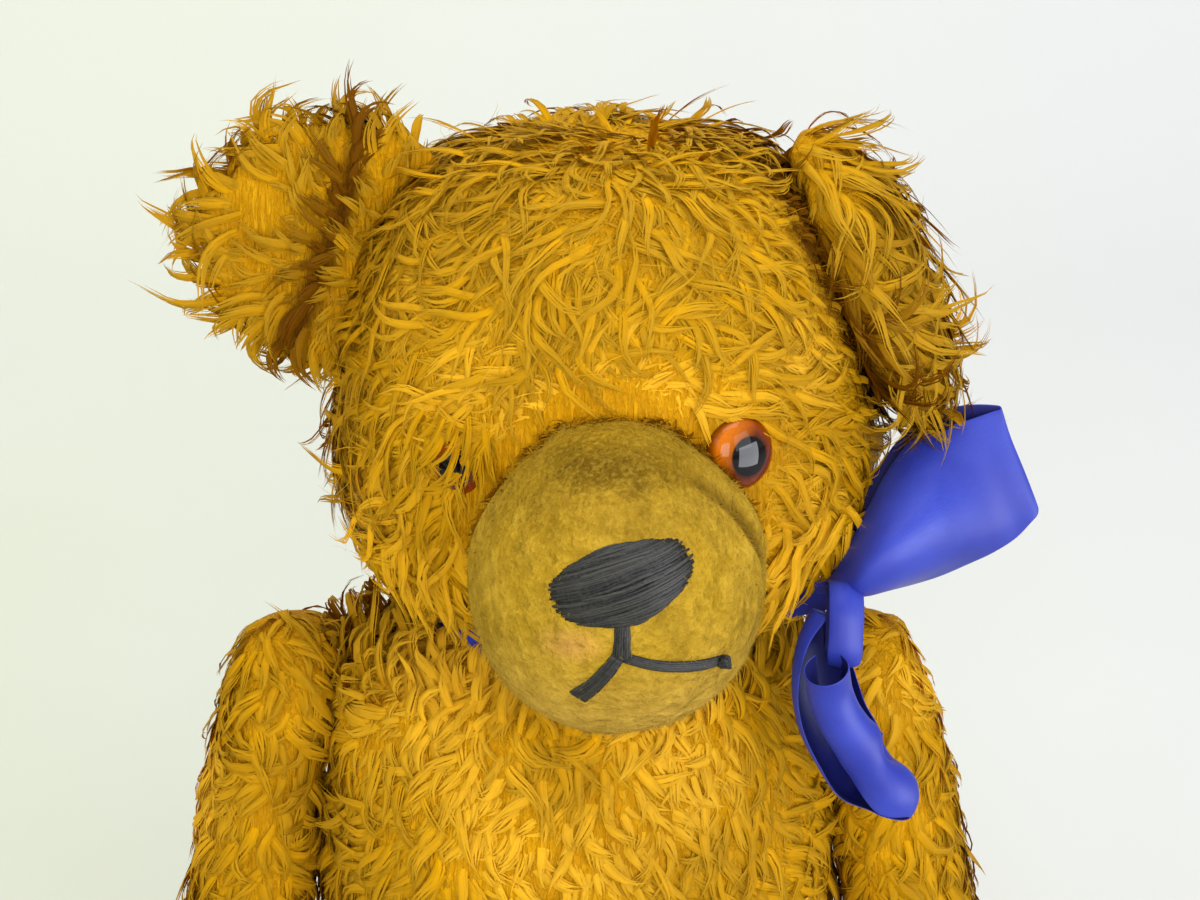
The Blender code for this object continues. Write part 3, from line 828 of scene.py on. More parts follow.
def headGrowAt(points, ups, rng):
    inMuzzle = np.linalg.norm((points - muzzleCentre) / (muzzleRadii + 1.0 * mm), axis=1) < 1
    keep = ~inMuzzle
    for place, reach in eyePlaces.values():
        keep &= np.linalg.norm(points - np.array(place) * mm, axis=1) > reach * mm
    onNeck = (points[:, 2] < 199 * mm) & (np.hypot(points[:, 0], points[:, 1]) < 34 * mm)
    return keep & ~onNeck


def headComb(points):
    rel = points - np.array(headCentre)
    top = np.clip((rel[:, 2] - 20 * mm) / (40 * mm), 0, 1)
    # over the crown the coat parts: sideways, then forwards or backwards
    forth = np.clip((rel[:, 1] - 10 * mm) / (20 * mm), -0.3, 0.9)
    way = np.stack([rel[:, 0] / ((45 - 17 * top) * mm), forth * top, 0.3 * top - 1], axis=1)
    away = points - muzzleCentre
    far = np.linalg.norm(away / muzzleRadii, axis=1)
    pull = np.clip(1.7 - far, 0, 0.7)[:, None] * 2.2
    away /= np.linalg.norm(away, axis=1, keepdims=True)
    return way + away * pull


def headAgedAt(points):
    high = np.clip((points[:, 2] - 262 * mm) / (50 * mm), 0, 1)
    return 0.1 + 0.8 * high


def awayFromBow(points):
    return np.linalg.norm((points - bowPlace) / bowRadii, axis=1) > 1


def frontOf(grow, line):
    return lambda p, u, r: grow(p, u, r) & (p[:, 1] < line * mm)


def backOf(grow, line):
    return lambda p, u, r: grow(p, u, r) & (p[:, 1] >= line * mm)


# the folds where the ears leave the head, matted, with painted shade along them
earFolds = [
    [(41.5, -10, 321), (50, -18, 309), (56.5, -24, 297.5), (62, -28, 287), (67, -30, 277.5),
     (71.5, -32, 264.5), (74.5, -32, 256.5)],
    [(-41.5, -8, 327), (-52, -8, 318), (-58, -8, 297), (-64.5, -8, 281), (-69.5, -8, 270)]]
earFoldLines = np.concatenate([
    np.array(line[:-1])[:, None] + (np.array(line[1:]) - np.array(line[:-1]))[:, None]
    * np.linspace(0, 1, 12)[None, :, None] for line in earFolds]).reshape(-1, 3) * mm


def farFromFold(points):
    flat = (points[:, None, [0, 2]] - earFoldLines[None][..., [0, 2]])
    return np.linalg.norm(flat, axis=2).min(axis=1)


def earFoldShade(points):
    return np.clip(1.35 - farFromFold(points) / (4 * mm), 0, 1) * (points[:, 1] < 5 * mm)


def besideFold(points):
    # the locks are short beside the folds, so the folds stay open
    share = np.clip((farFromFold(points) - 2 * mm) / (16 * mm), 0.12, 1)
    return np.where(points[:, 1] < 8 * mm, share, 1.0)


# the coats: lengths and widths in mm, bends in degrees a mm
headCoat = {
    "seed": 11, "spacing": 4.0, "length": 27, "lift": 3.4, "bury": 0.8, "steps": 7, "strands": 7,
    "spread": 1.1, "width": 0.68, "round": 0.6, "frizz": 0.35, "ragged": 0.72, "plump": 0.4,
    "swirl": 1.0, "swirlSize": 26, "bend": 3.0, "curl": 5.0, "curlSize": 20, "stray": 12,
    "wave": 7.5, "waveSize": 22, "hug": 1.0, "free": 0.14, "droop": 0.03,
    "comb": headComb, "wornAt": headWornAt, "agedAt": headAgedAt, "creaseShadeAt": earFoldShade,
    "growAt": frontOf(headGrowAt, 14), "lengthAt": besideFold, "hugAt": evenly(1),
    "curtain": (0.0, 0.0, 0.0),
}
mattedLocks = {"spacing": 3.7, "length": 13, "lift": 1.6, "steps": 4, "strands": 4, "spread": 1.1,
               "width": 0.85, "free": 0.05, "bend": 4.5}
fuzz = {"spacing": 1.8, "length": 7, "lift": 1.0, "steps": 3, "strands": 1, "spread": 0.0,
        "width": 0.9, "free": 0.0, "stray": 50, "bury": 0.3, "frizz": 0.1}
for label, sign in (("headLocksLeft", 1), ("headLocksRight", -1)):
    growFur(label, headSkin, "head",
            {**headCoat, "growAt": lambda p, u, r: headCoat["growAt"](p, u, r)
                & ((p[:, 0] - headCentre.x) * sign > 0)})
growFur("headMatted", headSkin, "head", {**headCoat, **mattedLocks, "seed": 12})
growFur("headFuzz", headSkin, "head", {**headCoat, **fuzz, "seed": 13})
growFur("headFlyaway", headSkin, "head",
        {**headCoat, "seed": 20, "spacing": 4.6, "length": 17, "lift": 4.5, "strands": 1, "steps": 5,
         "spread": 0.0, "width": 0.26, "free": 0.3, "stray": 45, "bend": 6.0})
growFur("headLocksBack", headSkin, "head",
        {**headCoat, "seed": 14, "spacing": 5.4, "strands": 5, "steps": 5, "width": 1.2,
         "growAt": backOf(headGrowAt, 14)})
growFur("headMattedBack", headSkin, "head",
        {**headCoat, **mattedLocks, "seed": 15, "spacing": 4.8, "strands": 4, "steps": 3,
         "width": 1.4, "growAt": backOf(headGrowAt, 14)})


def crownLength(points):
    return 0.7 + 0.5 * np.clip((np.abs(points[:, 0] - headCentre.x) - 12 * mm) / (30 * mm), 0, 1)


# loose tufts stand up along the crown and down the sides of the head
growFur("crownFur", headSkin, "head",
        {**headCoat, "seed": 18, "spacing": 6.0, "length": 20, "lift": 6.0, "hug": 0.35, "free": 0.35,
         "strands": 6, "bend": 4.5, "lengthAt": crownLength,
         "comb": lambda p: headComb(p) + np.array([0, 0, 0.6]),
         "growAt": lambda p, u, r: headGrowAt(p, u, r) & (np.abs(p[:, 1]) < 22 * mm)
            & ((p[:, 2] > 296 * mm) | (np.abs(p[:, 0] - headCentre.x) > 56 * mm))
            & (p[:, 2] > 232 * mm)})
# long locks hang from the cheeks over the neck, its ribbon and the bow's tuck
growFur("cheekFur", headSkin, "head",
        {**headCoat, "seed": 19, "spacing": 3.8, "length": 38, "lift": 5.0, "hug": 0.0,
         "droop": 0.05, "swirl": 0.5, "strands": 7, "steps": 6, "curtain": (0.0, -1.3, 0.5),
         "wornAt": evenly(0.3), "agedAt": evenly(0),
         "comb": lambda p: np.stack([(p[:, 0] - 9 * mm) / (200 * mm), np.full(len(p), -0.2),
                                     -np.ones(len(p))], axis=1),
         "growAt": lambda p, u, r: headGrowAt(p, u, r) & (p[:, 1] < -20 * mm)
            & (p[:, 2] < 238 * mm) & (p[:, 2] > np.where(p[:, 0] < 0, 200, 212) * mm)
            & (np.linalg.norm((p - muzzleCentre) / muzzleRadii, axis=1) < 1.8)})
# and shorter ones under the jaw
growFur("jawFur", headSkin, "head",
        {**headCoat, "seed": 16, "spacing": 4.4, "length": 22, "lift": 5.0, "hug": 0.15,
         "droop": 0.22, "swirl": 0.6, "strands": 5, "steps": 5, "width": 1.0,
         "curtain": (0.0, -0.7, 0.3),
         "agedAt": evenly(0),
         "comb": combed(0, -0.35, -1.0),
         "growAt": lambda p, u, r: headGrowAt(p, u, r) & (p[:, 2] < 226 * mm)
            & (p[:, 2] > 203 * mm) & awayFromBow(p)})
# a few locks droop over the right eye
growFur("browFur", headSkin, "head",
        {**headCoat, "seed": 17, "spacing": 2.5, "length": 14, "lift": 4.5, "hug": 0.45, "strands": 6,
         "spread": 1.0, "free": 0.4, "wornAt": evenly(0),
         "comb": combed(0.15, 0, -1.0),
         "growAt": lambda p, u, r: (near(p, np.array([-31, -52, 260]) * mm,
                                         np.array([12, 12, 8]) * mm) > 0)})


def bodyGrowAt(points, ups, rng):
    keep = ~((points[:, 2] > 191 * mm) & (np.hypot(points[:, 0], points[:, 1]) < 38 * mm))
    for joint, reach in discReach.items():
        deep, out = besideJoint(points, joint)
        keep &= ~((deep < 1.5 * mm) & (out < (reach - 3) * mm))
    return keep & (points[:, 2] > 1.0 * mm)


def bodyLengthAt(points):
    return 0.75 + 0.25 * np.clip(points[:, 2] / (20 * mm), 0, 1)


def bodyHugAt(points):
    # locks beside the arms and legs reach straight out over the gap
    room = awayFromJoints(points, discReach)
    return np.where(points[:, 1] < 0, 0.15 + 0.85 * room, 1.0)


def bodyWornAt(points):
    bare = np.array([noise.noise(Vector(p) * 26 + Vector((3, 8, 1))) for p in points])
    return np.clip(bare * 1.6, 0, 0.55)


def acrossJoints(points, names, way):
    # beside a joint the locks lie out over the gap
    for name in names:
        deep, _ = besideJoint(points, name)
        place, axis = np.array(joints[name]["pos_m"]), np.array(joints[name]["axis"])
        over = -np.sign((points - place) @ axis)[:, None] * axis
        share = 1.6 * np.clip(1 - deep / (13 * mm), 0, 1)[:, None] * (points[:, 1] < 0)[:, None]
        way = way + share * over
    return way


limbTree = treeOf(*armSkins.values(), *legSkins.values())
# the body's locks get painted shade where they lie against the arms and legs
bodyCoat = {
    **headCoat, "seed": 21, "spacing": 4.3, "length": 18, "lift": 3.2, "steps": 5, "strands": 5,
    "spread": 1.4, "width": 1.05, "swirl": 1.5, "swirlSize": 20, "curl": 5, "curlSize": 14,
    "bend": 4.5, "wave": 7, "waveSize": 16, "free": 0.12, "droop": 0.02, "hugAt": bodyHugAt,
    "comb": lambda p: acrossJoints(p, discReach, np.stack(
        [p[:, 0] / (90 * mm), 0 * p[:, 0], -np.ones(len(p))], axis=1)),
    "growAt": frontOf(bodyGrowAt, 5), "lengthAt": bodyLengthAt, "wornAt": bodyWornAt,
    "agedAt": evenly(0.5), "creaseShadeAt": closeTo(limbTree, 6 * mm, 0.3),
}
bodyMatted = {**mattedLocks, "spacing": 4.2, "length": 12, "strands": 3, "steps": 4, "width": 1.2}
growFur("torsoLocks", torsoSkin, "torso", bodyCoat)
growFur("torsoMatted", torsoSkin, "torso", {**bodyCoat, **bodyMatted, "seed": 22})
growFur("torsoLocksBack", torsoSkin, "torso",
        {**bodyCoat, "seed": 23, "spacing": 5.8, "strands": 5, "width": 1.3,
         "growAt": backOf(bodyGrowAt, 5)})
# upright locks round the top of the chest stand up to the ribbon
growFur("collarFur", torsoSkin, "torso",
        {**bodyCoat, "seed": 24, "spacing": 3.3, "length": 17, "lift": 12.0, "hug": 0.08, "swirl": 0.45,
         "comb": lambda p: np.stack([-p[:, 0] / (150 * mm), -p[:, 1] / (150 * mm),
                                     np.ones(len(p))], axis=1),
         "growAt": lambda p, u, r: bodyGrowAt(p, u, r) & (p[:, 2] > 176 * mm) & awayFromBow(p)})


def furLimb(kind, side, seed):
    skin = {"arm": armSkins, "leg": legSkins}[kind][side]
    body, joint = f"{kind}_{side}", {"arm": "shoulder_", "leg": "hip_"}[kind] + side
    padLow, padHigh = (np.array(corner) for corner in
                       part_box({"arm": "paw_pad_", "leg": "foot_pad_"}[kind] + side))
    padMiddle, padHalf = (padLow + padHigh) / 2, (padHigh - padLow) / 2

    def growAt(points, ups, rng):
        deep, out = besideJoint(points, joint)
        bare = (deep < 1.5 * mm) & (out < (discReach[joint] - 3) * mm)
        if kind == "leg":
            onPad = points[:, 1] < padLow[1] + 3.5 * mm
        else:
            reach = padHalf + np.array([0, 4, 0]) * mm
            onPad = np.linalg.norm((points - padMiddle) / reach, axis=1) < 1
        return ~bare & ~onPad

    way = np.array([0.0, -0.05, -1.0] if kind == "arm" else [0.0, -1.0, -0.15])
    # the limb's locks get painted shade where they lie against the torso
    coat = {
        **bodyCoat, "seed": seed, "length": 16, "swirl": 1.3, "growAt": frontOf(growAt, 6),
        "comb": lambda p: acrossJoints(p, [joint], np.tile(way, (len(p), 1))),
        "agedAt": evenly(0.35), "creaseShadeAt": closeTo(treeOf(torsoSkin), 6 * mm, 0.3)}
    title = side.title()
    if kind == "arm":
        growFur("armLocks" + title, skin, body, coat)
        growFur("armMatted" + title, skin, body, {**coat, **bodyMatted, "seed": seed + 10})
        growFur("armLocksBack" + title, skin, body, {
            **coat, "seed": seed + 20, "spacing": 5.6, "strands": 5, "width": 1.3,
            "growAt": backOf(growAt, 6)})
    else:
        growFur("legLocks" + title, skin, body, {
            **coat, "spacing": 5.8, "strands": 5, "width": 1.3, "growAt": growAt})


for seed, (kind, side) in enumerate((("arm", "left"), ("arm", "right"), ("leg", "left"),
                                     ("leg", "right")), start=31):
    furLimb(kind, side, seed)

rightEarBase = np.array([-44, -2, 284]) * mm
rightEarBald = (np.array([-73, -14, 300]) * mm, np.array([6, 9, 8]) * mm)
headTree = treeOf(headSkin)


def rightEarGrow(points, ups, rng):
    centre, reach = rightEarBald
    bald = (np.linalg.norm((points - centre) / reach, axis=1) < 1) & (ups[:, 1] < 0)
    return ~bald & (points[:, 0] < -39 * mm)


def rightEarLength(points):
    out = np.linalg.norm(points - rightEarBase, axis=1)
    return 0.45 + 0.75 * np.clip((out - 18 * mm) / (26 * mm), 0, 1)


def rightEarComb(points):
    return (points - rightEarBase) / np.linalg.norm(points - rightEarBase, axis=1, keepdims=True)


rightEarCoat = {
    **headCoat, "seed": 41, "spacing": 3.9, "length": 22, "lift": 4.0, "strands": 7, "width": 0.8,
    "spread": 1.4, "swirl": 0.5, "swirlSize": 14, "stray": 12, "bend": 3.5, "curl": 6, "wave": 4,
    "hug": 0.2, "free": 0.35, "droop": 0.0, "growAt": rightEarGrow, "lengthAt": rightEarLength,
    "comb": rightEarComb, "wornAt": evenly(0), "frizz": 0.45, "ragged": 0.6,
    "agedAt": evenly(0.9), "creaseShadeAt": earFoldShade,
}
leftEarCoat = {
    **rightEarCoat, "seed": 43, "spacing": 3.5, "length": 29, "lift": 5.5, "hug": 0.35,
    "strands": 6, "droop": 0.05, "swirl": 0.8, "free": 0.4, "growAt": lambda p, u, r: p[:, 0] > 43 * mm,
    "lengthAt": evenly(1), "agedAt": evenly(1),
    "comb": combed(0.75, -0.25, -0.75),
}


def giveValues(skin, label, values):
    skin.data.attributes.new(label, "FLOAT", "POINT").data.foreach_set("value", values)


def shadeCrease(skin, share):
    giveValues(skin, "deep", share(coordinates(skin.data)))


# painted shade on the skins along the ear folds and where the arms meet the torso
for skin in (earRight, earLeft, headSkin):
    shadeCrease(skin, earFoldShade)
shadeCrease(torsoSkin, closeTo(limbTree, 5 * mm, 0.3))
for skin in armSkins.values():
    shadeCrease(skin, closeTo(treeOf(torsoSkin), 5 * mm, 0.3))
growFur("earLocksRight", earRight, "head", rightEarCoat)
growFur("earMattedRight", earRight, "head",
        {**rightEarCoat, **mattedLocks, "seed": 42, "length": 10, "spacing": 3.4, "hug": 0.8})
growFur("earLocksLeft", earLeft, "head", leftEarCoat)
growFur("earMattedLeft", earLeft, "head", {**leftEarCoat, **mattedLocks, "seed": 44, "hug": 0.8})


muzzleColours = {
    "low": (0.455, 0.265, 0.012), "high": (0.565, 0.345, 0.032), "upper": (0.19, 0.098, 0.002),
    "lower": (0.64, 0.41, 0.09), "band": (0.085, 0.042, 0.002), "tuft": (0.19, 0.105, 0.005),
    "nap": (0.62, 0.42, 0.05), "rubbed": (0.62, 0.30, 0.085), "creaseShade": (0.10, 0.045, 0.001),
    "dirt": (0.13, 0.07, 0.004),
    # the dark band across the top: its middle and half sizes in metres
    "bandPlace": (0.004, -0.084, 0.2625), "bandHalf": (0.023, 0.014, 0.0052), "bandTilt": 4,
}


def shearedMaterial():
    material, paint, shader, place = startMaterial("shearedPlush")
    nap = paint.noise(place, 900.0, 4.0, 0.65)
    tufts = paint.noise(place, 240.0, 4.0, 0.6, 0.5)
    broad = paint.noise(place, 60.0, 4.0, 0.55)
    tones = muzzleColours
    colour = paint.mix(paint.spread(broad, 0.35, 0.65), tones["low"], tones["high"])
    upward = paint.add("ShaderNodeSeparateXYZ", {"Vector": place}).outputs["Z"]
    colour = paint.mix(paint.spread(upward, 0.242, 0.264, 0.0, 0.7), colour, tones["upper"])
    colour = paint.mix(paint.spread(upward, 0.225, 0.203, 0.0, 0.6), colour, tones["lower"])
    bandPlace = paint.add("ShaderNodeMapping", {
        "Vector": place, "Location": tones["bandPlace"],
        "Rotation": (0, math.radians(tones["bandTilt"]), 0), "Scale": tones["bandHalf"]},
        vector_type="TEXTURE").outputs["Vector"]
    band = paint.add("ShaderNodeVectorMath", {0: bandPlace}, operation="LENGTH").outputs["Value"]
    wobble = paint.math("ADD", band, paint.spread(tufts, 0.3, 0.7, -0.35, 0.35))
    colour = paint.mix(paint.spread(wobble, 1.1, 0.3, 0.0, 0.85), colour, tones["band"])
    colour = paint.mix(paint.spread(tufts, 0.36, 0.64, 0.45, 0.0), colour, tones["tuft"])
    colour = paint.mix(paint.spread(nap, 0.45, 0.7, 0.0, 0.35), colour, tones["nap"])
    colour = paint.mix(paint.attribute("rubbed"), colour, tones["rubbed"])
    # painted shade along the pressed furrow, by the deep attribute
    colour = paint.mix(paint.attribute("deep"), colour, tones["creaseShade"])
    soiled = paint.group(soiling, {"Place": place, "Clean": colour, "Dirt": tones["dirt"],
                                   "Size": 70.0, "Amount": 0.4})
    height = paint.math("ADD", paint.math("MULTIPLY", nap, 0.5), tufts)
    height = paint.math("ADD", height, paint.math("MULTIPLY", broad, 2.5))
    finishShader(paint, shader, Base_Color=soiled["Colour"], Roughness=0.85,
                 Specular_IOR_Level=0.04, Normal=paint.bump(height, 1.0, 1.5 * mm))
    return material


sheared = shearedMaterial()
muzzleSkin = stuffedSkin("muzzleSkin", "muzzle", "head", [], 3.6 * mm, 0.6 * mm, cap=0.8 * mm,
                         lumps=1.1, material=sheared)
muzzleRise = 1.1   # the stuffing stands the muzzle tall
muzzlePoints = coordinates(muzzleSkin.data)
muzzlePoints[:, 2] = muzzleCentre[2] + (muzzlePoints[:, 2] - muzzleCentre[2]) * muzzleRise
setCoordinates(muzzleSkin.data, muzzlePoints)
sewOn(muzzleSkin, headSkin, 11 * mm, 8 * mm)
# a furrow pressed into the plush beside the eye, with painted shade along it, and a rubbed place under
# the nose
muzzleCrease = np.array([(28, -78, 260), (33, -77, 256), (37.5, -75, 250.5), (41, -73, 244),
                         (43, -70, 237)]) * mm
creaseLine = np.concatenate([start + (end - start) * np.linspace(0, 1, 10)[:, None]
                             for start, end in zip(muzzleCrease[:-1], muzzleCrease[1:])])
rubbedPlace = (np.array([-1, -102, 227]) * mm, np.array([9, 14, 5]) * mm)


def muzzleDeepAt(points):
    far = np.linalg.norm(points[:, None] - creaseLine[None], axis=2).min(axis=1)
    return np.clip(1.3 - far / (3.4 * mm), 0, 1)


def pressCrease():
    points, normals = coordinates(muzzleSkin.data), vertexNormals(muzzleSkin.data)
    share = muzzleDeepAt(points) * (points[:, 1] < -40 * mm)
    setCoordinates(muzzleSkin.data, points - normals * share[:, None] * 1.6 * mm)
    # the deep attribute carries painted shade along the furrow
    giveValues(muzzleSkin, "deep", share * 0.8)
    giveValues(muzzleSkin, "rubbed", near(points, *rubbedPlace) * 0.7)


pressCrease()
growFur("muzzleNap", muzzleSkin, "head", {
    **headCoat, "seed": 51, "spacing": 0.95, "length": 2.3, "lift": 1.0, "bury": 0.2, "steps": 1,
    "strands": 1, "spread": 0.2, "width": 0.36, "swirl": 1.6, "swirlSize": 9, "stray": 40,
    "free": 0.4, "comb": combed(0.1, 0, -1.0),
    "growAt": lambda p, u, r: p[:, 1] < -45 * mm, "wornAt": evenly(0),
    "creaseShadeAt": lambda p: muzzleDeepAt(p) * 0.8}, sheared)

# longer nap stands over the seam round the muzzle
growFur("muzzleRim", muzzleSkin, "head", {
    **headCoat, "seed": 52, "spacing": 1.5, "length": 5, "lift": 1.6, "bury": 0.3, "steps": 3,
    "strands": 2, "spread": 0.5, "width": 0.45, "swirl": 0.8, "swirlSize": 9, "stray": 35,
    "hug": 0.3, "free": 0.3, "comb": lambda p: p - muzzleCentre,
    "growAt": lambda p, u, r: (closeTo(headTree, 7 * mm)(p) > 0.2) & (p[:, 1] < -30 * mm),
    "wornAt": evenly(0), "agedAt": evenly(1)})


threadColours = {"dark": (0.005, 0.005, 0.006), "light": (0.038, 0.037, 0.033),
                 "worn": (0.065, 0.062, 0.055)}


def threadMaterial():
    material, paint, shader, place = startMaterial("charcoalThread")
    fibre = paint.noise(place, 1400.0, 3.0, 0.6)
    colour = paint.mix(paint.attribute("tint"), threadColours["dark"], threadColours["light"])
    colour = paint.mix(paint.spread(fibre, 0.4, 0.7, 0.0, 0.4), colour, threadColours["worn"])
    finishShader(paint, shader, Base_Color=colour, Roughness=0.55, Specular_IOR_Level=0.25,
                 Normal=paint.bump(fibre, 0.4, 0.2 * mm))
    return material


charcoal = threadMaterial()
muzzleTree = treeOf(muzzleSkin)


def onMuzzle(across, up, lift):
    # the place in front of the muzzle's cloth, across and up from its centre
    start = Vector((muzzleCentre[0] + across * mm, -0.2, muzzleCentre[2] + up * mm))
    place, facing, _, _ = muzzleTree.ray_cast(start, Vector((0, 1, 0)))
    return place + facing * lift * mm


def tube(points, radii, sides=5):
    # vertices and faces of a round thread with closed ends
    points = np.array([tuple(p) for p in points])
    way = np.gradient(points, axis=0)
    way /= np.linalg.norm(way, axis=1, keepdims=True)
    side = np.cross(way, [0.13, -1.0, 0.21])
    side /= np.linalg.norm(side, axis=1, keepdims=True)
    up = np.cross(side, way)
    verts, faces = [], []
    for index, point in enumerate(points):
        for step in range(sides):
            turn = 2 * math.pi * step / sides
            verts.append(point + (side[index] * math.cos(turn) + up[index] * math.sin(turn))
                         * radii[index])
    for index in range(len(points) - 1):
        for step in range(sides):
            a, b = index * sides + step, index * sides + (step + 1) % sides
            faces.append((a, b, b + sides, a + sides))
    faces.append(tuple(range(sides))[::-1])
    faces.append(tuple(len(verts) - sides + step for step in range(sides)))
    return verts, faces


def threadPiece(name, threads, node):
    # threads are (points, radii, tint)
    verts, faces, tints = [], [], []
    for points, radii, tint in threads:
        more, sheets = tube(points, radii)
        faces += [tuple(corner + len(verts) for corner in face) for face in sheets]
        verts += more
        tints += [tint] * len(more)
    mesh = bpy.data.meshes.new(name)
    mesh.from_pydata(verts, [], faces)
    mesh.attributes.new("tint", "FLOAT", "POINT").data.foreach_set("value", tints)
    piece = linkObject(name, mesh)
    makeActive(piece)
    bpy.ops.object.mode_set(mode="EDIT")
    bpy.ops.mesh.select_all(action="SELECT")
    bpy.ops.mesh.normals_make_consistent(inside=False)
    bpy.ops.object.mode_set(mode="OBJECT")
    smoothShade(piece)
    giveMaterial(piece, charcoal)
    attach(piece, "head")
    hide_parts(node)
    print("stitched", name, len(threads), "threads")


nose = {"centre": (1.0, 11.2), "half": (15.6, 8.9), "slope": 18, "threads": 46, "over": 26,
        "radius": 0.36, "dome": 2.3, "seed": 61}


def stitchNose():
    rng = np.random.default_rng(nose["seed"])
    slope = math.radians(nose["slope"])
    halfLong, halfShort = nose["half"]
    threads = []
    for index in range(nose["threads"] + nose["over"]):
        over = index >= nose["threads"]
        across = rng.uniform(-0.9, 0.9) if over else \
            -1 + 2 * (index + 0.5) / nose["threads"] + rng.normal(0, 0.01)
        reach = halfLong * (1 - abs(across) ** 2.4) ** 0.5 + 0.6
        reach *= rng.uniform(0.94, 1.02) * (rng.uniform(0.6, 0.95) if over else 1)
        skew = rng.normal(0, 0.04) if over else 0
        lean = -0.22 * halfLong * across   # the ends slant with the stitching
        points, radii = [], []
        for step in range(15):
            share = -1 + 2 * step / 14
            a = share * reach + lean * 0.35
            b = (across + skew * share) * halfShort * (1 - 0.10 * share ** 2)
            bulge = nose["dome"] * max(0, 1 - share ** 4) * max(0.05, 1 - across ** 2) ** 0.5
            along = a * math.cos(slope) - b * math.sin(slope)
            up = a * math.sin(slope) + b * math.cos(slope)
            points.append(onMuzzle(nose["centre"][0] + along, nose["centre"][1] + up,
                                   bulge - 0.2 + (0.25 if over else 0)))
            radii.append(nose["radius"] * mm * rng.uniform(0.85, 1.1))
        threads.append((points, radii, float(np.clip(rng.normal(0.45, 0.28), 0, 1))))
    threadPiece("noseThreads", threads, "nose_stitching")


mouth = {   # starts and ends are across and up from the muzzle's centre, in mm
    "Centre": {"start": (1.3, 3.0), "end": (1.0, -6.2), "width": 4.0, "threads": 7, "seed": 62,
               "sag": 0.0, "endWidth": 1.0, "knotTurns": 0},
    "Right": {"start": (0.4, -4.8), "end": (-8.8, -17.2), "width": 3.6, "threads": 7, "seed": 63,
              "sag": 0.5, "endWidth": 1.25, "knotTurns": 0},
    "Left": {"start": (1.8, -5.2), "end": (23.8, -11.2), "width": 3.0, "threads": 6, "seed": 64,
             "sag": -0.5, "endWidth": 0.9, "knotTurns": 5},
}
mouthThread = {"radius": 0.42, "knotRadius": 0.45}


def stitchMouth(name):
    stitch = mouth[name]
    rng = np.random.default_rng(stitch["seed"])
    start, end = np.array(stitch["start"], float), np.array(stitch["end"], float)
    way = (end - start) / np.linalg.norm(end - start)
    side = np.array([-way[1], way[0]])
    threads = []
    for index in range(stitch["threads"]):
        place = (index + 0.5) / stitch["threads"] * 2 - 1
        points, radii = [], []
        for step in range(13):
            share = step / 12
            broad = stitch["width"] * (0.75 + (stitch["endWidth"] - 0.75) * share)
            broad += rng.normal(0, 0.05)
            bow = stitch["sag"] * math.sin(share * math.pi)
            spot = start + (end - start) * share + side * (place * broad / 2 + bow)
            lift = 0.75 * (1 - place ** 2) ** 0.5 * min(1, 6 * share + 0.4, 6 * (1 - share) + 0.2)
            points.append(onMuzzle(spot[0], spot[1], lift))
            radii.append(mouthThread["radius"] * mm * rng.uniform(0.85, 1.15))
        threads.append((points, radii, float(np.clip(rng.normal(0.5, 0.2), 0, 1))))
    for turn in range(stitch["knotTurns"]):
        angles = np.linspace(0, 2 * math.pi, 10)
        ring = [onMuzzle(end[0] + 1.2 * math.cos(a + turn) * (1 - 0.1 * turn),
                         end[1] + 1.5 * math.sin(a + turn * 0.7), 0.9 + 0.25 * turn)
                for a in angles]
        threads.append((ring, [mouthThread["knotRadius"] * mm] * len(angles), 0.05))
    threadPiece("mouthThread" + name, threads, "mouth_stitch_" + name.lower())


stitchNose()
for each in mouth:
    stitchMouth(each)


eyes = {
    "eye_left": {"look": (0.52, -0.84, 0.10), "radius": 8.8, "dome": 4.8, "sunk": 4.8},
    "eye_right": {"look": (-0.42, -0.90, 0.05), "radius": 7.6, "dome": 4.6, "sunk": 5.0},
}


irisColours = {
    "inner": (0.045, 0.005, 0.001), "outer": (0.24, 0.040, 0.001), "paintedGlow": (0.66, 0.17, 0.002),
    "streak": (0.22, 0.03, 0.002), "edge": (0.10, 0.018, 0.001), "pupil": (0.003, 0.002, 0.002),
    "pupilReach": (0.52, 0.57),
}
eyeRim = 1.2 * mm


def eyeMaterial():
    material, paint, shader, _ = startMaterial("amberGlass")
    plan = paint.add("ShaderNodeUVMap", uv_map="iris").outputs["UV"]
    centred = paint.add("ShaderNodeVectorMath", {0: plan, 1: (0.5, 0.5, 0.0)},
                        operation="SUBTRACT").outputs["Vector"]
    far = paint.math("MULTIPLY", paint.add("ShaderNodeVectorMath", {0: centred},
                                           operation="LENGTH").outputs["Value"], 2.0)
    # painted light: the iris is made lighter on the side away from the lamp, where light gathers in the
    # glass
    paintedGlow = paint.add("ShaderNodeVectorMath", {0: centred, 1: (-1.5, 1.1, 0.0)},
                     operation="DOT_PRODUCT").outputs["Value"]
    streak = paint.noise(paint.stretched(plan, (26.0, 26.0, 1.0)), 1.0, 3.0)
    tones = irisColours
    iris = paint.mix(paint.spread(far, 0.55, 0.9), tones["inner"], tones["outer"])
    iris = paint.mix(paint.spread(paintedGlow, 0.1, 1.0), iris, tones["paintedGlow"])
    iris = paint.mix(paint.spread(streak, 0.4, 0.75, 0.0, 0.3), iris, tones["streak"])
    iris = paint.mix(paint.spread(far, 0.90, 1.0, 0.0, 0.8), iris, tones["edge"])
    colour = paint.mix(paint.spread(far, *tones["pupilReach"]), tones["pupil"], iris)
    finishShader(paint, shader, Base_Color=colour, Roughness=0.3, Specular_IOR_Level=0.0,
                 Coat_Weight=0.8, Coat_Roughness=0.03, Coat_IOR=1.36)
    return material


amber = eyeMaterial()


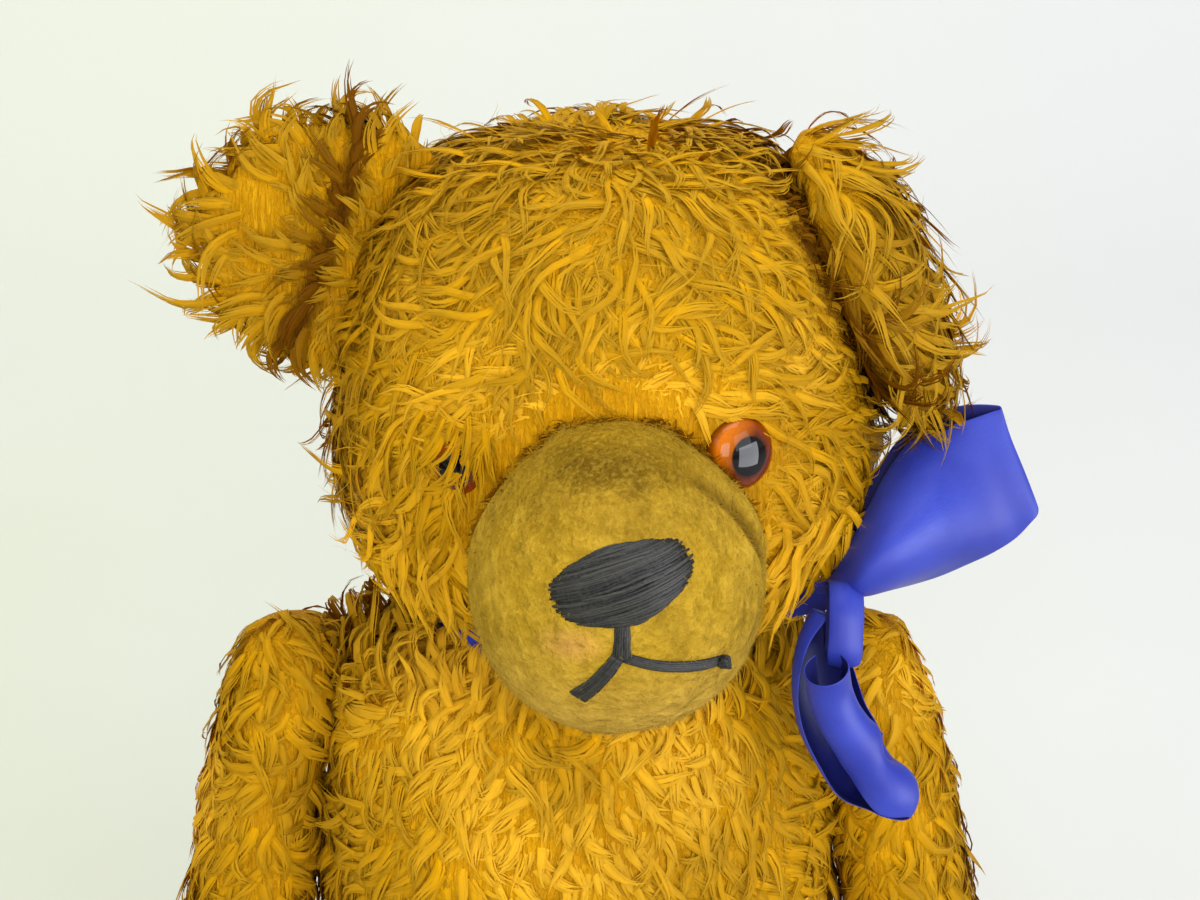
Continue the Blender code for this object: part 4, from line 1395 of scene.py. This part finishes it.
def buildEye(node):
    eye = eyes[node]
    look = Vector(eye["look"]).normalized()
    low, high = (Vector(corner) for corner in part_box(node))
    place = (low + high) / 2 - look * eye["sunk"] * mm
    deselectAll()
    bpy.ops.mesh.primitive_uv_sphere_add(segments=48, ring_count=32, radius=eye["radius"] * mm)
    piece = bpy.context.object
    piece.name = node.replace("eye_", "glassEye_")
    bpy.ops.object.mode_set(mode="EDIT")
    bpy.ops.mesh.select_all(action="SELECT")
    bpy.ops.mesh.bisect(plane_co=(0, 0, 0), plane_no=(0, 0, 1), clear_inner=True, use_fill=True)
    bpy.ops.mesh.select_all(action="SELECT")
    bpy.ops.transform.resize(value=(1, 1, eye["dome"] / eye["radius"]),
                             center_override=(0, 0, 0))
    bpy.ops.transform.translate(value=(0, 0, eyeRim))
    bpy.ops.mesh.select_all(action="DESELECT")
    shape = bmesh.from_edit_mesh(piece.data)
    for face in shape.faces:   # the flat back goes down for a rim
        if face.normal.z < -0.9:
            face.select = True
    bmesh.update_edit_mesh(piece.data)
    bpy.ops.mesh.extrude_region_move(TRANSFORM_OT_translate={"value": (0, 0, -eyeRim)})
    bpy.ops.object.mode_set(mode="OBJECT")
    points = coordinates(piece.data)
    plan = piece.data.uv_layers[0]
    plan.name = "iris"
    corners = np.empty(len(piece.data.loops), dtype=int)
    piece.data.loops.foreach_get("vertex_index", corners)
    flat = points[corners][:, :2] / (2 * eye["radius"] * mm) + 0.5
    plan.data.foreach_set("uv", flat.ravel())
    turn = look.to_track_quat("Z", "Y").to_matrix().to_4x4()
    piece.data.transform(Matrix.Translation(place) @ turn)
    smoothShade(piece)
    giveMaterial(piece, amber)
    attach(piece, "head")
    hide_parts(node)
    print("set", node)


for each in eyes:
    buildEye(each)


def satinMaterial(name, low, high, line):
    material, paint, shader, place = startMaterial(name)
    plan = paint.add("ShaderNodeUVMap", uv_map="weave").outputs["UV"]
    lines = paint.noise(paint.stretched(plan, (900.0, 30.0, 1.0)), 1.0, 2.0)
    broad = paint.noise(place, 45.0, 2.0)
    colour = paint.mix(paint.spread(broad, 0.3, 0.7), low, high)
    colour = paint.mix(paint.spread(lines, 0.35, 0.65, 0.0, 0.35), colour, line)
    finishShader(paint, shader, Base_Color=colour, Roughness=0.5, Specular_IOR_Level=0.25,
                 Anisotropic=0.4, Sheen_Weight=0.05, Sheen_Roughness=0.3,
                 Sheen_Tint=(0.45, 0.55, 1.0), Normal=paint.bump(lines, 0.12, 0.1 * mm))
    return material


satinColours = {
    "blueSatin": ((0.020, 0.032, 0.33), (0.036, 0.060, 0.46), (0.015, 0.02, 0.24)),
    # the back face of the ribbon is painted darker, as shade inside the loops and folds
    "blueSatinShadedBack": ((0.006, 0.008, 0.11), (0.010, 0.014, 0.17), (0.005, 0.006, 0.08)),
}
satin, satinShadedBack = (satinMaterial(name, *tones) for name, tones in satinColours.items())
ribbonWidth, ribbonThickness = 29.0, 0.35


def smoothRun(rows, count):
    # evenly many rows on a smooth run through the given ones
    rows = np.array(rows, dtype=float)
    padded = np.concatenate([2 * rows[:1] - rows[1:2], rows, 2 * rows[-1:] - rows[-2:-1]])
    spans = len(rows) - 1
    result = []
    for value in np.linspace(0, spans, count):
        base = min(int(value), spans - 1)
        t = value - base
        p0, p1, p2, p3 = padded[base:base + 4]
        result.append(0.5 * (2 * p1 + (p2 - p0) * t + (2 * p0 - 5 * p1 + 4 * p2 - p3) * t * t
                             + (3 * p1 - p0 - 3 * p2 + p3) * t ** 3))
    return np.array(result)


def rolledRows(stations, points=9):
    # each station is the middle of the ribbon, the way its back faces and how far it is rolled
    middles = np.array([station[0] for station in stations], dtype=float)
    ways = np.gradient(middles, axis=0)
    rows = []
    for (middle, facing, degrees), way in zip(stations, ways):
        facing, way = Vector(facing), Vector(way).normalized()
        facing = (facing - way * facing.dot(way)).normalized()
        across = way.cross(facing)
        rolled = math.radians(degrees)
        radius = ribbonWidth / rolled
        row = []
        for step in range(points):
            turn = rolled * (step / (points - 1) - 0.5)
            tighter = radius * (1 - 0.16 * max(0, degrees - 300) / 80 * (step / (points - 1)))
            row.append(Vector(middle) + across * tighter * math.sin(turn)
                       - facing * (radius - tighter * math.cos(turn)))
        rows.append([tuple(spot) for spot in row])
    return rows


def foldedRows(rows, centre, gap=0.9):
    # the ribbon folded in three along its length, its hidden layers towards the centre
    folded = []
    for row in rows[::-1]:
        low, middle, high = (Vector(spot) for spot in row)
        inward = (Vector(centre) - middle).normalized()
        second, third = inward * gap, inward * gap * 2
        folded.append([tuple(spot) for spot in (
            low, middle, high, high + second, middle + second, low + second,
            low + third, middle + third, high + third)])
    return folded


def ribbonPiece(name, rows, count, wrinkle=0.3, across=14):
    grid = smoothRun(rows, count)
    grid = smoothRun(grid.transpose(1, 0, 2), across + 1).transpose(1, 0, 2)
    middle = grid[:, across // 2]
    length = np.concatenate([[0], np.cumsum(np.linalg.norm(np.diff(middle, axis=0), axis=1))])
    along, over = np.gradient(grid, axis=0), np.gradient(grid, axis=1)
    facing = np.cross(along, over)
    facing /= np.linalg.norm(facing, axis=2, keepdims=True) + 1e-9
    verts, plan = [], []
    for index in range(count):
        for step in range(across + 1):
            share = step / across
            ripple = noise.noise(Vector((length[index] * 0.09, share * 1.6, len(name)))) * wrinkle
            verts.append((grid[index, step] + facing[index, step] * ripple) * mm)
            plan.append((share * ribbonWidth / 100, length[index] / 100))
    faces, corners = [], []
    for index in range(count - 1):
        for step in range(across):
            a = index * (across + 1) + step
            faces.append((a, a + 1, a + across + 2, a + across + 1))
            corners += [a, a + 1, a + across + 2, a + across + 1]
    mesh = bpy.data.meshes.new(name)
    mesh.from_pydata(verts, [], faces)
    layer = mesh.uv_layers.new(name="weave")
    layer.data.foreach_set("uv", np.array([plan[c] for c in corners]).ravel())
    piece = linkObject(name, mesh)
    thick = piece.modifiers.new("thick", "SOLIDIFY")
    thick.thickness = ribbonThickness * mm
    thick.offset = 0
    # the back face gets the darker satin, painted shade
    thick.material_offset = 1
    giveMaterial(piece, satin, satinShadedBack)
    smoother = piece.modifiers.new("smoother", "SUBSURF")
    smoother.levels = smoother.render_levels = 1
    applyModifiers(piece)
    smoothShade(piece)
    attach(piece, "torso")
    print("folded", name, round(float(length[-1])), "mm")
    return piece


upperLoop = [   # five places across the ribbon, from its upper edge down
    [(56, -24, 211), (57, -26, 212), (58, -28, 212), (58.5, -27, 210), (58, -25, 208)],
    [(62, -28, 213), (63.5, -32, 214.5), (65, -36, 214), (65.5, -34, 211.5), (64, -30, 210)],
    [(69, -26, 226), (69.5, -34, 224.5), (69.5, -41, 220), (71, -38, 213), (72.5, -27, 208.5)],
    [(76, -18, 237), (76.5, -29, 234), (77.5, -39.5, 227.5), (80, -37, 217.5), (82.5, -23, 209.5)],
    [(84, -13, 245.5), (86, -23, 240.5), (88, -33, 232), (91.5, -31, 221), (95, -20, 212.5)],
    [(95, -12, 248.5), (97.5, -17, 241), (100.5, -21, 233), (103.5, -22, 225), (107, -19.5, 218.5)],
    [(103, -11, 251), (105, -14, 244.5), (107.5, -16.5, 238), (110, -18.5, 231), (112.5, -19.5, 224.5)],
    [(104.7, -11, 251.6), (107, -13, 245), (109.5, -15, 239), (112, -17, 232.5), (114.4, -18.5, 226.8)],
    [(104, -9.8, 252.2), (106, -11.8, 245.5), (108.5, -13.5, 239), (111, -15.5, 233), (113, -17, 228)],
    [(95, -7, 251), (97, -8, 244), (99, -9.5, 237), (101, -11.5, 230), (103, -13, 224)],
    [(84, -7, 246.5), (86, -10, 240), (88, -12, 233), (89, -15, 226), (90, -18, 219)],
    [(73, -14, 234), (74, -17, 229), (75, -19, 224), (76, -21, 219), (76, -23, 213)],
    [(62, -24, 212), (63, -25, 212.5), (64, -26, 212), (64.5, -27, 211), (64, -28, 210)],
]
lowerLoop = rolledRows([
    ((59.6, -55.5, 196.6), (0, -0.5, -0.85), 300), ((60.2, -54.2, 193.8), (0, -0.75, -0.65), 300),
    ((61.6, -53.4, 190.0), (0.0, -0.95, -0.2), 300), ((64.3, -53.4, 185.2), (0.0, -0.98, 0.1), 290),
    ((68.2, -53.6, 180.4), (0.0, -0.95, 0.25), 275), ((72.6, -53, 176.5), (-0.15, -0.85, 0.5), 250),
    ((77.0, -51.5, 173.6), (-0.1, -0.5, 0.85), 225), ((80.0, -47.5, 171.8), (0.3, -0.1, 0.95), 200),
    ((81.5, -43.5, 168.6), (0.8, 0.3, 0.5), 180), ((79.5, -40.0, 165.2), (0.6, 0.7, -0.3), 170),
    ((74.5, -38.5, 164.6), (-0.1, 0.85, -0.5), 170), ((68.0, -37.5, 166.5), (-0.4, 0.85, -0.3), 170),
    ((62.6, -36.5, 173.0), (-0.5, 0.8, -0.2), 170), ((59.0, -35.5, 181), (-0.5, 0.85, 0), 180),
    ((57.5, -34.5, 190), (-0.4, 0.9, 0), 200), ((58.5, -33, 199), (-0.2, 1, 0.1), 250),
    ((61, -31, 206), (0, 1, 0.3), 330)])
knotWrap = [
    [(61, -30, 213), (65, -29, 213.5), (69, -28, 212)],
    [(61.2, -37, 215.5), (65.3, -38, 216), (69.5, -35.5, 214)],
    [(61, -43, 212), (65.2, -44.5, 212), (69.5, -41.5, 210.5)],
    [(60.8, -45.5, 206), (65, -47, 206), (69.2, -44.5, 204.5)],
    [(60.6, -46, 200.5), (65, -47, 200), (69, -45, 199)],
    [(61, -43, 197), (65, -43, 196), (68.5, -42, 196)],
    [(61, -36, 198), (65, -35.5, 197), (68, -35, 198)],
    [(61, -30, 204), (65, -29, 204), (68, -29, 204)],
]
bandRows = []
for step in range(25):
    turn = math.radians(-35 + 360 * step / 24)
    around = np.array([math.cos(turn), math.sin(turn)])
    bandRows.append([(*(around * 35.8), 191.5), (*(around * 37), 194.8), (*(around * 35.8), 198.3)])
tuckRows = [
    [(35, -7, 191.5), (36.5, -8, 195), (35, -7, 198.5)],
    [(46, -14, 194.5), (47, -16, 198.5), (46, -14, 202)],
    [(55, -21, 200), (56, -23, 204), (55, -21, 208)],
    [(62, -29, 205), (63, -30, 208), (62, -29, 212)],
]

neckBand = ribbonPiece("neckBand", foldedRows(bandRows, (0, 0, 194.8)), 44)
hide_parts("neck_ribbon")
ribbonPiece("bowTuck", foldedRows(tuckRows, (35, 25, 200)), 12)
ribbonPiece("bowUpperLoop", upperLoop, 56, wrinkle=0.5)
hangingLoop = ribbonPiece("bowLowerLoop", lowerLoop, 64, wrinkle=0.25)
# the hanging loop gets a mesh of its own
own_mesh(hangingLoop)
ribbonPiece("bowKnot", foldedRows(knotWrap, (65, -36, 205)), 32)


padColours = {"low": (0.34, 0.20, 0.03), "high": (0.46, 0.30, 0.06), "fibre": (0.22, 0.12, 0.015),
              "dirt": (0.12, 0.07, 0.02)}


def feltMaterial():
    material, paint, shader, place = startMaterial("padCloth")
    fibre = paint.noise(place, 700.0, 4.0, 0.65, 1.0)
    broad = paint.noise(place, 80.0, 3.0)
    colour = paint.mix(paint.spread(broad, 0.35, 0.65), padColours["low"], padColours["high"])
    colour = paint.mix(paint.spread(fibre, 0.35, 0.7, 0.0, 0.5), colour, padColours["fibre"])
    soiled = paint.group(soiling, {"Place": place, "Clean": colour, "Dirt": padColours["dirt"],
                                   "Size": 45.0, "Amount": 0.7})
    finishShader(paint, shader, Base_Color=soiled["Colour"], Roughness=0.9,
                 Specular_IOR_Level=0.1, Normal=paint.bump(fibre, 0.6, 0.4 * mm))
    return material


def seatPad(pad, limb):
    # the pad's inner side goes in to the limb's cloth
    tree = treeOf(limb)
    points, normals = coordinates(pad.data), vertexNormals(pad.data)
    for index, point in enumerate(points):
        seat, _, _, _ = tree.find_nearest(Vector(point))
        inward = (seat - Vector(point)).normalized()
        if Vector(normals[index]).dot(inward) > 0:
            points[index] = seat + inward * mm
    setCoordinates(pad.data, points)


felt = feltMaterial()
for side in ("left", "right"):
    for kind, limb, limbs, voxel in (("paw", "arm_", armSkins, 2.5), ("foot", "leg_", legSkins, 3)):
        pad = stuffedSkin(kind + "Pad" + side.title(), kind + "_pad_" + side, limb + side, [],
                          voxel * mm, 0.0, cap=0.4 * mm, lumps=0.3, material=felt)
        seatPad(pad, limbs[side])


hardwareColours = {"boardLow": (0.20, 0.12, 0.06), "boardHigh": (0.36, 0.25, 0.14),
                   "steel": (0.50, 0.50, 0.49), "rust": (0.25, 0.11, 0.04)}


def boardMaterial():
    material, paint, shader, place = startMaterial("jointBoard")
    grain = paint.noise(place, 500.0, 4.0, 0.6)
    colour = paint.mix(paint.spread(grain, 0.3, 0.7), hardwareColours["boardLow"],
                       hardwareColours["boardHigh"])
    finishShader(paint, shader, Base_Color=colour, Roughness=0.85,
                 Normal=paint.bump(grain, 0.3, 0.2 * mm))
    return material


def steelMaterial():
    material, paint, shader, place = startMaterial("pinSteel")
    marks = paint.noise(place, 900.0, 3.0, 0.6)
    rust = paint.spread(paint.noise(place, 300.0, 4.0, 0.6), 0.55, 0.7)
    colour = paint.mix(rust, hardwareColours["steel"], hardwareColours["rust"])
    finishShader(paint, shader, Base_Color=colour, Roughness=paint.spread(marks, 0.3, 0.7, 0.3, 0.5),
                 Metallic=paint.spread(rust, 0.0, 1.0, 1.0, 0.2))
    return material


board, steel = boardMaterial(), steelMaterial()
for name, each in frame["nodes"].items():
    if not each.hide_render:
        giveMaterial(each, board if name.endswith("_disc") else steel)
